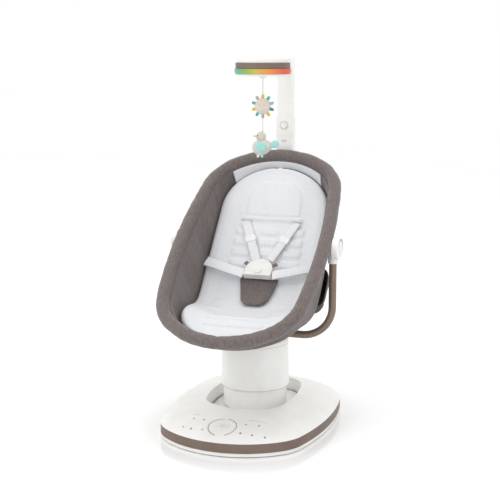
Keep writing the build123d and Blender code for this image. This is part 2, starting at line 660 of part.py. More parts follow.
def profile_slab(z_low, z_high, y0=-335.0, y1=335.0, half=250.0):
    """Solid between two copies of the seat's profile, cut to a stretch of the seat."""
    low = Spline(*[(0, y, z + z_low) for y, z in SEAT_PROFILE])
    high = Spline(*[(0, y, z + z_high) for y, z in SEAT_PROFILE])
    ends = [Line(low @ 0, high @ 0), Line(low @ 1, high @ 1)]
    face = make_face(Wire([low, ends[1], high, ends[0]]))
    slab = Pos(-half, 0, 0) * extrude(face, 2 * half, dir=(1, 0, 0))
    return slab & block(-half, half, y0, y1, -400, 200)


def bucket_core(inset, top):
    """Solid inside the bucket's leaning wall."""
    return loft([oval(HOOP, HOOP_PAD_R + 1.5 + inset + BUCKET_TAPER, -BUCKET_DEPTH),
                 oval(HOOP, HOOP_PAD_R + 1.5 + inset, top)], ruled=True)


def above_profile(offset):
    """Everything above a copy of the seat's profile."""
    return profile_slab(offset, 260.0, -339, 334)


def seat_bucket():
    """Fabric bucket that hangs from the hoop: a leaning wall and a curved floor."""
    outer = bucket_core(0, -6.0) & above_profile(-INSERT_T - 9.0)
    inner = bucket_core(FABRIC, 1.0) & above_profile(-INSERT_T - 9.0 + FABRIC)
    return seat_place() * (outer - inner)


def seat_boards():
    """Stiff boards under the insert, one for the back and one for the seat."""
    slab = profile_slab(-INSERT_T - 5.5, -INSERT_T - 2.5)
    back = slab & extrude(Pos(0, 145, -250) * RectangleRounded(250, 286, 60), 300)
    pan = slab & extrude(Pos(0, -77, -250) * RectangleRounded(240, 146, 40), 300)
    return seat_place() * Compound(children=[back, pan])


def seat_insert():
    """Padded insert that lies in the bucket."""
    core = bucket_core(FABRIC + PAD_SIDE_GAP, 20.0)
    return seat_place() * (core & profile_slab(-INSERT_T, 0.0, -330, 328))


def under_pocket():
    """Dark fabric pocket under the seat."""
    outer = loft([oval(HOOP, HOOP_PAD_R + 4, -POCKET_DEPTH), oval(HOOP, HOOP_PAD_R + 1, -100)], ruled=True)
    band = block(-300, 300, *POCKET_SPAN, -POCKET_DEPTH, -100)
    return seat_place() * ((outer & band) - above_profile(-INSERT_T - 9.6))


def crotch_pad():
    """Fabric pad between the legs, tapered to its strap."""
    outline = make_face(Polyline((-60, -14), (60, -14), (40, -92), (22, -112), (-22, -112), (-40, -92),
                                 close=True))
    prism = extrude(Pos(0, 0, -200) * outline, 220)
    return seat_place() * (prism & profile_slab(1.0, 9.0))


def strap(a, b, width, thick, roll=0.0):
    """Flat strap between two points of the seat, thin across the hoop's normal."""
    start, end = Vector(*a), Vector(*b)
    way = end - start
    plane = Plane(origin=start, x_dir=Vector(0, 0, 1).cross(way), z_dir=way)
    return extrude(plane * Rot(0, 0, roll) * Rectangle(width, thick), way.length)


def shoulder_strap():
    """Right shoulder strap, from its slot to the buckle."""
    return seat_place() * strap((SLOT_X, SLOT_Y, SLOT_N), (20, 38, BUCKLE_N + 3), 22.0, 1.6)


def strap_adjuster():
    """Right slider on the shoulder strap."""
    def along(t):
        """Point part of the way down the strap."""
        ends = ((SLOT_X, 20.0), (SLOT_Y, 38.0), (SLOT_N, BUCKLE_N + 3))
        return tuple(a + (b - a) * t for a, b in ends)

    slider = strap(along(0.40), along(0.53), 30.0, 5.0)
    return seat_place() * (slider - strap(along(0.3), along(0.6), 23.0, 2.4))


def waist_strap():
    """Right waist strap and its pad, from the bucket's side to the buckle."""
    return seat_place() * strap((150, -8, -112.0), (42, -20, BUCKLE_N + 3), 28.0, 5.0)


def buckle():
    """Harness buckle: a half disc with slots for the tongues."""
    disc = extrude(Circle(40), 18) & block(-50, 50, -12, 60, -1, 30)
    disc += block(-40, 40, -22, -12, 0, 18)
    disc = fillet(disc.edges().sort_by(Axis.Z)[-6:], 2.0)
    disc -= Pos(0, -5, 18) * Cylinder(RELEASE_R + GAP, 14)
    return seat_place() * (Pos(0, -6, BUCKLE_N - 4) * disc)


def buckle_button():
    """Release button in the face of the buckle."""
    button = Pos(0, -5, 17.2) * Cylinder(RELEASE_R, 5.6)
    return seat_place() * (Pos(0, -6, BUCKLE_N - 4) * button)


def main():
    os.makedirs("parts", exist_ok=True)
    single = (base_upper_shell, base_lower_shell, base_trim_band, control_panel, dial_button, dc_inlet,
              base_feet, base_screws, recess_floor, main_board, loudspeaker, guide_rods, drive_rack,
              drive_pinion, gearbox, swing_motor, carriage, carriage_bushings, column_core, column_collar,
              column_shell, swivel_bolt, swivel_washer, swivel_cap, u_frame, button_springs, post_arm,
              post_lower, post_joint, post_upper, post_button, head_top, head_band, light_ring,
              light_board, head_cover, mobile_motor, mobile_hanger, mobile_ribbon, mobile_string,
              sun_toy, bird_toy, hoop_tube, hoop_padding, seat_bucket, seat_boards, seat_insert,
              under_pocket, crotch_pad, buckle, buckle_button)
    for make in single:
        put(make.__name__, make())
    for make in (hub_housing, hub_axle, recline_plate, shoulder_strap, waist_strap):
        put(make.__name__ + "s", both(make()))
    for make in (recline_button, strap_adjuster):
        put(f"{make.__name__}_right", make())
        put(f"{make.__name__}_left", mirror(make(), about=Plane.YZ))


if __name__ == "__main__":
    main()
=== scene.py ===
"""Looks of an electric baby swing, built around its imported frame: finishes, soft goods and toys."""

import logging
import math
from collections.abc import Callable, Sequence
from dataclasses import dataclass, field
from enum import Enum

import bpy
from mathutils import Matrix, Vector
from mathutils.bvhtree import BVHTree


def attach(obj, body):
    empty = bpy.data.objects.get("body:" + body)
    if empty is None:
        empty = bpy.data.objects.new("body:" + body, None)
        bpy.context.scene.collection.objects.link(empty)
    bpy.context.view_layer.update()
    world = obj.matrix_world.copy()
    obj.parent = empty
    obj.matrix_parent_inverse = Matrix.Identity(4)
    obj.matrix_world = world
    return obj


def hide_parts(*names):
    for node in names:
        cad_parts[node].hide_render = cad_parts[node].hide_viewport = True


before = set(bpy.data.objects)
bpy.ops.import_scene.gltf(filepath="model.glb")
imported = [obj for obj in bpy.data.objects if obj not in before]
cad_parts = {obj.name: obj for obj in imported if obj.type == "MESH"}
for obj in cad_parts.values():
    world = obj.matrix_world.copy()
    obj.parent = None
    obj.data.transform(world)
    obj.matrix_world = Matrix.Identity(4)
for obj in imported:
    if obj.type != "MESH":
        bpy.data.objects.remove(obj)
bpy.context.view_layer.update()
LOG = logging.getLogger("swing")
MM = 0.001
ABS_IOR = 1.52
WAVE_PER_BAND = 6.28  # texture scale of one wave band per unit
Ring = list[Vector]


# ------------------------------------------------------------------ shared sizes, in millimetres
@dataclass(frozen=True)
class Oval:
    """Oval of eight tangent arcs, symmetric about x = 0."""

    fx: float
    fy: float
    fr: float
    bx: float
    by: float
    br: float
    front: float
    side: float
    back: float

    def outline(self, inset: float, count: int) -> list[tuple[float, float]]:
        """Even points along the oval, from its back middle, turning to the left.

        Args:
            inset: how far inside the oval the line runs.
            count: number of points.

        Returns:
            Points (x, y) in millimetres.
        """
        corners = [((self.fx, self.fy), self.fr), ((self.bx, self.by), self.br),
                   ((-self.bx, self.by), self.br), ((-self.fx, self.fy), self.fr)]
        bows = [self.side, self.back, self.side, self.front]
        centres = [bow_centre(*corners[i], *corners[(i + 1) % 4], bows[i]) for i in range(4)]
        dense: list[tuple[float, float]] = []
        for i, (corner, radius) in enumerate(corners):
            before, after = centres[i - 1], centres[i]
            nxt = corners[(i + 1) % 4][0]
            for mid, r, a, b in ((corner, radius - inset, heading(before, corner), heading(after, corner)),
                                 (after, bows[i] - inset, heading(after, corner), heading(after, nxt))):
                b += 2 * math.pi if b < a else 0
                dense += [(mid[0] + r * math.cos(a + (b - a) * k / 60),
                           mid[1] + r * math.sin(a + (b - a) * k / 60)) for k in range(60)]
        start = max(range(len(dense)), key=lambda k: (dense[k][1] - abs(dense[k][0]) * 0.5))
        dense = dense[start:] + dense[:start + 1]
        return even(dense, count)

    def half_width(self, inset: float) -> Callable[[float], float]:
        """Half-width of the inset oval as a function of y."""
        side = sorted((y, x) for x, y in self.outline(inset, 720) if x >= -0.001)
        return lambda y: between([p[0] for p in side], [p[1] for p in side], y)


def bow_centre(p: tuple, rp: float, q: tuple, rq: float, bow: float) -> tuple[float, float]:
    """Centre of the large arc that holds two circles."""
    dx, dy = q[0] - p[0], q[1] - p[1]
    span = math.hypot(dx, dy)
    a, b = bow - rp, bow - rq
    along = (span**2 + a**2 - b**2) / (2 * span)
    up = math.sqrt(a**2 - along**2)
    return (p[0] + (dx * along - dy * up) / span, p[1] + (dy * along + dx * up) / span)


def heading(a: tuple, b: tuple) -> float:
    """Angle of the way from a to b."""
    return math.atan2(b[1] - a[1], b[0] - a[0])


def even(points: Sequence[tuple], count: int) -> list[tuple]:
    """Resamples an open line of points to equal steps, without its last point."""
    runs = [0.0]
    for a, b in zip(points, points[1:]):
        runs.append(runs[-1] + math.dist(a, b))
    axes = [[p[i] for p in points] for i in range(len(points[0]))]
    return [tuple(between(runs, axis, runs[-1] * k / count) for axis in axes) for k in range(count)]


def between(xs: Sequence[float], ys: Sequence[float], x: float) -> float:
    """Linear interpolation, held at both ends."""
    if x <= xs[0]:
        return ys[0]
    if x >= xs[-1]:
        return ys[-1]
    lo, hi = 0, len(xs) - 1
    while hi - lo > 1:
        mid = (lo + hi) // 2
        lo, hi = (mid, hi) if xs[mid] <= x else (lo, mid)
    share = (x - xs[lo]) / max(xs[hi] - xs[lo], 1e-9)
    return ys[lo] + (ys[hi] - ys[lo]) * share


def smooth(x: float, low: float, high: float) -> float:
    """0 below low, 1 above high, with a soft step between."""
    t = min(1.0, max(0.0, (x - low) / (high - low)))
    return t * t * (3 - 2 * t)


HOOP = Oval(fx=52, fy=-197, fr=143, bx=52, by=197, br=140, front=235, side=1500, back=225)
RECESS = Oval(fx=43, fy=-84, fr=70, bx=38, by=84, br=72, front=150, side=500, back=150)
HOOP_Y, HOOP_Z, HOOP_TILT = -31.0, 514.0, math.radians(37.1)
SEAT_PROFILE = ((-340, -34), (-235, -64), (-160, -118), (-92, -150), (0, -138), (90, -112),
                (170, -86), (250, -50), (335, -12))


def seat_point(x: float, y: float, n: float) -> Vector:
    """Point of the seat in the row frame, in metres.

    Args:
        x: to the right.
        y: along the hoop, from foot to head.
        n: off the hoop's plane.

    Returns:
        The place in metres.
    """
    c, s = math.cos(HOOP_TILT), math.sin(HOOP_TILT)
    return Vector((x, HOOP_Y + y * c - n * s, HOOP_Z + y * s + n * c)) * MM


def seat_floor(y: float) -> float:
    """Height of the padded surface off the hoop's plane, as a smooth curve through its points."""
    pts = SEAT_PROFILE
    y = min(max(y, pts[0][0]), pts[-1][0])
    i = max(k for k in range(len(pts) - 1) if pts[k][0] <= y)

    def slope(k: int) -> float:
        a, b = pts[max(k - 1, 0)], pts[min(k + 1, len(pts) - 1)]
        return (b[1] - a[1]) / (b[0] - a[0])

    (y0, n0), (y1, n1) = pts[i], pts[i + 1]
    h = y1 - y0
    t = (y - y0) / h
    return ((2 * t**3 - 3 * t**2 + 1) * n0 + (t**3 - 2 * t**2 + t) * h * slope(i)
            + (3 * t**2 - 2 * t**3) * n1 + (t**3 - t**2) * h * slope(i + 1))


# ------------------------------------------------------------------ mesh helpers
def deselect() -> None:
    """Leaves nothing selected and no edit mode."""
    if bpy.context.object and bpy.context.object.mode != "OBJECT":
        bpy.ops.object.mode_set(mode="OBJECT")
    bpy.ops.object.select_all(action="DESELECT")


def activate(piece: bpy.types.Object) -> None:
    """Selects one piece and makes it active."""
    deselect()
    piece.select_set(True)
    bpy.context.view_layer.objects.active = piece


def skin(name: str, rows: Sequence[Ring], around: bool = True, closed: bool = False,
         caps: bool = False) -> bpy.types.Object:
    """Mesh through rows of points.

    Args:
        name: piece name.
        rows: rows of equally many points, in metres.
        around: each row closes on itself.
        closed: the last row joins the first.
        caps: the first and last rows are filled.

    Returns:
        The new object, at the origin.
    """
    width = len(rows[0])
    verts = [p for row in rows for p in row]
    faces = []
    for r in range(len(rows) if closed else len(rows) - 1):
        for c in range(width if around else width - 1):
            a, b = r * width + c, r * width + (c + 1) % width
            up = ((r + 1) % len(rows)) * width
            faces.append((a, b, up + (c + 1) % width, up + c))
    if caps:
        faces.append(tuple(reversed(range(width))))
        faces.append(tuple((len(rows) - 1) * width + c for c in range(width)))
    mesh = bpy.data.meshes.new(name)
    mesh.from_pydata(verts, [], faces)
    piece = bpy.data.objects.new(name, mesh)
    bpy.context.scene.collection.objects.link(piece)
    activate(piece)
    bpy.ops.object.mode_set(mode="EDIT")
    bpy.ops.mesh.select_all(action="SELECT")
    bpy.ops.mesh.remove_doubles(threshold=0.00002)
    bpy.ops.mesh.normals_make_consistent(inside=False)
    bpy.ops.object.mode_set(mode="OBJECT")
    bpy.ops.object.shade_smooth()
    return piece


def modify(piece: bpy.types.Object, kind: str, **settings: object) -> None:
    """Adds a modifier with its settings and applies it."""
    activate(piece)
    modifier = piece.modifiers.new(kind.title(), kind)
    for key, value in settings.items():
        setattr(modifier, key, value)
    bpy.ops.object.modifier_apply(modifier=modifier.name)


def joined(name: str, pieces: Sequence[bpy.types.Object]) -> bpy.types.Object:
    """Joins pieces into the first one."""
    deselect()
    for piece in pieces:
        piece.select_set(True)
    bpy.context.view_layer.objects.active = pieces[0]
    bpy.ops.object.join()
    pieces[0].name = name
    return pieces[0]


def blob(name: str, centre: Sequence[float], radii: Sequence[float], finish: "bpy.types.Material",
         turn: float = 0.0, taper: float = 0.0, seam: float = 0.5) -> bpy.types.Object:
    """Stuffed lobe with a sewn seam round it in the plane y = its middle.

    Args:
        name: piece name.
        centre: middle, in millimetres.
        radii: half sizes along X, Y and Z, in millimetres.
        finish: its material.
        turn: turn about the Y axis, in degrees.
        taper: share by which it narrows towards +X.
        seam: depth of the seam, in millimetres.

    Returns:
        The lobe.
    """
    deselect()
    bpy.ops.mesh.primitive_uv_sphere_add(segments=40, ring_count=24, radius=1.0)
    piece = bpy.context.object
    piece.name = name
    for v in piece.data.vertices:
        x, y, z = v.co
        narrow = 1 - taper * (x + 1) / 2
        pinch = 1 - seam / max(radii[0], radii[2]) * math.exp(-(y / 0.07) ** 2)
        v.co = (x * radii[0] * pinch * MM, y * narrow * radii[1] * MM, z * narrow * radii[2] * pinch * MM)
    spin = Matrix.Rotation(math.radians(turn), 4, "Y")
    piece.data.transform(Matrix.Translation(Vector(centre) * MM) @ spin)
    piece.data.materials.append(finish)
    bpy.ops.object.shade_smooth()
    return piece


# ------------------------------------------------------------------ finishes
def linear(code: str) -> tuple[float, float, float, float]:
    """Linear colour of an sRGB hex code."""
    parts = [int(code[i:i + 2], 16) / 255 for i in (0, 2, 4)]
    return (*[c / 12.92 if c <= 0.04045 else ((c + 0.055) / 1.055) ** 2.4 for c in parts], 1.0)


def add_node(tree: bpy.types.NodeTree, kind: str, settings: dict[str | int, object] | None = None,
             links: dict[str | int, bpy.types.NodeSocket] | None = None) -> bpy.types.Node:
    """Adds one node.

    Args:
        tree: the material's node tree.
        kind: the node's type name, without its ShaderNode prefix.
        settings: values of its inputs, or of its own properties.
        links: output sockets to plug into its inputs.

    Returns:
        The node.
    """
    node = tree.nodes.new("ShaderNode" + kind)
    for key, value in (settings or {}).items():
        if isinstance(key, int) or key in node.inputs:
            node.inputs[key].default_value = value
        else:
            setattr(node, key, value)
    for key, socket in (links or {}).items():
        tree.links.new(socket, node.inputs[key])
    return node


def new_material(name: str, settings: dict[str, object]) -> tuple[bpy.types.Material, bpy.types.NodeTree,
                                                                  bpy.types.Node, bpy.types.NodeSocket]:
    """Empty material with its shader and the Object coordinates."""
    material = bpy.data.materials.new(name)
    material.use_nodes = True
    tree = material.node_tree
    tree.nodes.clear()
    shader = add_node(tree, "BsdfPrincipled", settings)
    add_node(tree, "OutputMaterial", {}, {"Surface": shader.outputs[0]})
    place = add_node(tree, "TexCoord").outputs["Object"]
    return material, tree, shader, place


def shades(tree: bpy.types.NodeTree, factor: bpy.types.NodeSocket, dark: str, light: str,
           low: float = 0.35, high: float = 0.65) -> bpy.types.NodeSocket:
    """Colour between two hex codes by a factor."""
    ramp = add_node(tree, "ValToRGB", {}, {0: factor})
    ramp.color_ramp.elements[0].position, ramp.color_ramp.elements[0].color = low, linear(dark)
    ramp.color_ramp.elements[1].position, ramp.color_ramp.elements[1].color = high, linear(light)
    return ramp.outputs[0]


def per_metre(size_mm: float) -> float:
    """Texture scale for a pattern of this size."""
    return 1.0 / (size_mm * MM)


@dataclass(frozen=True)
class MouldedPlastic:
    """Injection-moulded ABS: faint spark-eroded grain and a soft, even gloss."""

    name: str
    light: str
    dark: str
    roughness: float = 0.38
    grain_mm: float = 1.6
    grain_depth: float = 0.03

    def make(self) -> bpy.types.Material:
        """Builds the material."""
        material, tree, shader, place = new_material(
            self.name, {"Roughness": self.roughness, "IOR": ABS_IOR, "Coat Weight": 0.08,
                        "Coat Roughness": 0.2})
        cloud = add_node(tree, "TexNoise", {"Scale": per_metre(55), "Detail": 2.0}, {"Vector": place})
        tree.links.new(shades(tree, cloud.outputs[0], self.dark, self.light), shader.inputs["Base Color"])
        grain = add_node(tree, "TexNoise", {"Scale": per_metre(self.grain_mm), "Detail": 3.0},
                         {"Vector": place})
        sheen = add_node(tree, "MapRange", {"To Min": self.roughness - 0.04, "To Max": self.roughness + 0.05},
                         {"Value": grain.outputs[0]})
        tree.links.new(sheen.outputs[0], shader.inputs["Roughness"])
        bump = add_node(tree, "Bump", {"Strength": self.grain_depth, "Distance": 0.0004},
                        {"Height": grain.outputs[0]})
        tree.links.new(bump.outputs[0], shader.inputs["Normal"])
        return material


@dataclass(frozen=True)
class WovenCloth:
    """Polyester melange cloth: two yarn tones, a plain weave and slubs across it."""

    name: str
    light: str
    dark: str
    thread_mm: float = 1.8
    slub_mm: float = 5.0
    depth: float = 0.35
    roughness: float = 0.9
    contrast: tuple[float, float] = (0.36, 0.64)

    def make(self) -> bpy.types.Material:
        """Builds the material."""
        material, tree, shader, place = new_material(
            self.name, {"Roughness": self.roughness, "Sheen Weight": 0.25, "Sheen Roughness": 0.5})
        stretch = add_node(tree, "Mapping", {"Scale": (1.0, 1.0, 0.35)}, {"Vector": place})
        slubs = add_node(tree, "TexNoise",
                         {"Scale": per_metre(self.slub_mm), "Detail": 4.0, "Roughness": 0.65},
                         {"Vector": stretch.outputs[0]})
        yarn = add_node(tree, "TexNoise", {"Scale": per_metre(self.thread_mm * 0.8), "Detail": 2.0},
                        {"Vector": place})
        half = add_node(tree, "Math", {"operation": "MULTIPLY", 1: 0.45}, {0: yarn.outputs[0]})
        blend = add_node(tree, "Math", {"operation": "MULTIPLY_ADD", 1: 0.55},
                         {0: slubs.outputs[0], 2: half.outputs[0]})
        tree.links.new(shades(tree, blend.outputs[0], self.dark, self.light, *self.contrast),
                       shader.inputs["Base Color"])
        height = None
        for axis in ("X", "Y", "Z"):
            wave = add_node(tree, "TexWave", {"bands_direction": axis, "Distortion": 1.2, "Detail": 1.0,
                                              "Scale": per_metre(self.thread_mm) / WAVE_PER_BAND},
                            {"Vector": place})
            if height is None:
                height = wave.outputs["Fac"]
            else:
                total = add_node(tree, "Math", {"operation": "ADD"}, {0: height, 1: wave.outputs["Fac"]})
                height = total.outputs[0]
        bump = add_node(tree, "Bump", {"Strength": self.depth, "Distance": 0.0005}, {"Height": height})
        crease = add_node(tree, "TexNoise", {"Scale": per_metre(28), "Detail": 2.0}, {"Vector": place})
        soft = add_node(tree, "Bump", {"Strength": 0.25, "Distance": 0.003},
                        {"Height": crease.outputs[0], "Normal": bump.outputs[0]})
        tree.links.new(soft.outputs[0], shader.inputs["Normal"])
        return material


@dataclass(frozen=True)
class Metal:
    """Metal with a brushed, painted or plated surface."""

    name: str
    light: str
    dark: str
    metallic: float
    roughness: float
    streak_mm: float = 2.0

    def make(self) -> bpy.types.Material:
        """Builds the material."""
        material, tree, shader, place = new_material(
            self.name, {"Metallic": self.metallic, "Roughness": self.roughness})
        stretch = add_node(tree, "Mapping", {"Scale": (1.0, 1.0, 0.06)}, {"Vector": place})
        streaks = add_node(tree, "TexNoise", {"Scale": per_metre(self.streak_mm), "Detail": 3.0},
                           {"Vector": stretch.outputs[0]})
        tree.links.new(shades(tree, streaks.outputs[0], self.dark, self.light, 0.3, 0.7),
                       shader.inputs["Base Color"])
        wear = add_node(tree, "MapRange", {"To Min": self.roughness - 0.06, "To Max": self.roughness + 0.08},
                        {"Value": streaks.outputs[0]})
        tree.links.new(wear.outputs[0], shader.inputs["Roughness"])
        bump = add_node(tree, "Bump", {"Strength": 0.04, "Distance": 0.0003}, {"Height": streaks.outputs[0]})
        tree.links.new(bump.outputs[0], shader.inputs["Normal"])
        return material


@dataclass(frozen=True)
class LightRing:
    """Frosted clear polycarbonate ring, lit from behind in bands of colour from left to right."""

    name: str = "frosted_polycarbonate"
    reach: float = 0.079
    bands: tuple[tuple[float, str], ...] = ((0.0, "2F8F92"), (0.20, "58A878"), (0.38, "93A94A"),
                                            (0.53, "C2AE4C"), (0.78, "E0843C"), (1.0, "D2402F"))

    def make(self) -> bpy.types.Material:
        """Builds the material."""
        material, tree, shader, place = new_material(
            self.name, {"Roughness": 0.28, "IOR": 1.58, "Emission Strength": 0.1})
        split = add_node(tree, "SeparateXYZ", {}, {0: place})
        across = add_node(tree, "MapRange", {"From Min": -self.reach, "From Max": self.reach},
                          {"Value": split.outputs[0]})
        ramp = add_node(tree, "ValToRGB", {}, {0: across.outputs[0]})
        stops = ramp.color_ramp.elements
        while len(stops) < len(self.bands):
            stops.new(0.5)
        for stop, (spot, code) in zip(stops, self.bands):
            stop.position, stop.color = spot, linear(code)
        frost = add_node(tree, "TexNoise", {"Scale": per_metre(3.0), "Detail": 2.0}, {"Vector": place})
        bump = add_node(tree, "Bump", {"Strength": 0.08, "Distance": 0.0004}, {"Height": frost.outputs[0]})
        tree.links.new(ramp.outputs[0], shader.inputs["Base Color"])
        tree.links.new(ramp.outputs[0], shader.inputs["Emission Color"])
        tree.links.new(bump.outputs[0], shader.inputs["Normal"])
        return material


class Look(Enum):
    """Every finish of the swing."""

    WHITE_ABS = MouldedPlastic("warm_white_abs", "F4F3F0", "F0EEEA")
    # brighter copy of the white ABS for the column: painted light standing in for front fill light
    COLUMN_ABS = MouldedPlastic("column_brightened_abs", "FBFBF9", "F6F6F3")
    CAP_ABS = MouldedPlastic("cool_white_abs", "F2F2F0", "ECECEA", roughness=0.3)
    TRIM_ABS = MouldedPlastic("taupe_abs", "7A695E", "705F55", roughness=0.5, grain_depth=0.12)
    BUTTON_ABS = MouldedPlastic("taupe_button_abs", "94867C", "877A71", roughness=0.42)
    DIAL_ABS = MouldedPlastic("dial_abs", "F4F3EF", "EEEDE8", roughness=0.3)
    PRINT_GREY = MouldedPlastic("grey_pad_print", "B9B7B3", "ABA9A5", roughness=0.6)
    WINDOW = MouldedPlastic("frosted_window", "DFDED9", "D4D3CE", roughness=0.25)
    PRINT_DARK = MouldedPlastic("dark_pad_print", "6E6D6B", "5F5E5C", roughness=0.6)
    BLACK_ABS = MouldedPlastic("black_abs", "1D1D1F", "141416", roughness=0.5)
    GREY_NYLON = MouldedPlastic("grey_nylon", "8C8D8F", "7C7D80", roughness=0.5)
    BUCKLE_ABS = MouldedPlastic("cream_buckle_abs", "EDECE9", "E3E2DE", roughness=0.33)
    RUBBER = MouldedPlastic("foot_rubber", "2B2B2C", "202021", roughness=0.85, grain_depth=0.3)
    BOARD = MouldedPlastic("circuit_board", "1F6B3F", "185733", roughness=0.35)
    FRAME = Metal("taupe_powder_coat", "8B7A6D", "7B6A5E", 0.35, 0.38)
    STEEL = Metal("drawn_steel", "B9BABC", "A2A3A6", 1.0, 0.32)
    BRASS = Metal("turned_brass", "C9A55C", "B08C45", 1.0, 0.3)
    TAUPE_CLOTH = WovenCloth("taupe_melange_cloth", "7F7572", "5B5250")
    WALL_CLOTH = WovenCloth("taupe_wall_cloth", "796E6B", "5A5150")
    WHITE_KNIT = WovenCloth("white_spacer_knit", "EEEFF1", "DEE0E4", thread_mm=2.4, depth=0.3,
                            contrast=(0.25, 0.75))
    WHITE_WEB = WovenCloth("white_webbing", "EEEFF1", "E2E3E6", thread_mm=1.6, depth=0.5)
    # taupe cloth darkened as painted shade, for the pocket in shadow under the bucket
    DARK_CLOTH = WovenCloth("shaded_taupe_cloth", "5A5350", "453F3D")
    PIPING = WovenCloth("grey_piping", "D5D6D9", "C6C8CC")
    CORD = WovenCloth("cotton_cord", "E5E1D8", "CFCABF", thread_mm=0.9)
    RING = LightRing()
    SUN_BEIGE = WovenCloth("beige_plush", "E0D6CB", "D2C6BA")
    TOY_YELLOW = WovenCloth("yellow_plush", "E3C85A", "CFB348")
    TOY_TEAL = WovenCloth("teal_plush", "5FC0B5", "4BA89D")
    TOY_DEEP = WovenCloth("deep_teal_plush", "4E8E8C", "417B79")
    TOY_GREY = WovenCloth("grey_plush", "B7B8B4", "A3A4A0")
    TOY_LILAC = WovenCloth("lilac_plush", "B9B0C0", "A79EAF")
    TOY_AQUA = WovenCloth("aqua_plush", "A6E3DC", "92D3CB")
    TOY_SAGE = WovenCloth("sage_plush", "DAD6CF", "C9C4BC")
    TOY_BEAK = WovenCloth("lime_felt", "DADCA0", "CBCD8E")
    TOY_PEACH = WovenCloth("peach_felt", "EDB79B", "DDA487")


MADE: dict[Look, bpy.types.Material] = {}


def finish(look: Look) -> bpy.types.Material:
    """Material of a look, made once."""
    if look not in MADE:
        MADE[look] = look.value.make()
    return MADE[look]


def dress(nodes: Sequence[str], look: Look) -> None:
    """Gives CAD nodes a finish through their objects' material slots."""
    for name in nodes:
        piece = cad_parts[name]
        if not piece.material_slots:
            piece.data.materials.append(finish(look))
        for spot in piece.material_slots:
            spot.material = finish(look)


def own(piece: bpy.types.Object, look: Look, body: str, slot: str, *nodes: str) -> bpy.types.Object:
    """Finishes a new piece, lets it ride and hides the CAD nodes that it replaces.

    Args:
        piece: the new object.
        look: its finish, used where it has none yet.
        body: the body that it rides on.
        slot: the record's material slot; not used.
        nodes: CAD nodes that it replaces.

    Returns:
        The piece.
    """
    if not piece.data.materials:
        piece.data.materials.append(finish(look))
    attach(piece, body)
    if nodes:
        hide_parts(*nodes)
    LOG.info("%s: %d faces", piece.name, len(getattr(piece.data, "polygons", [])))
    return piece


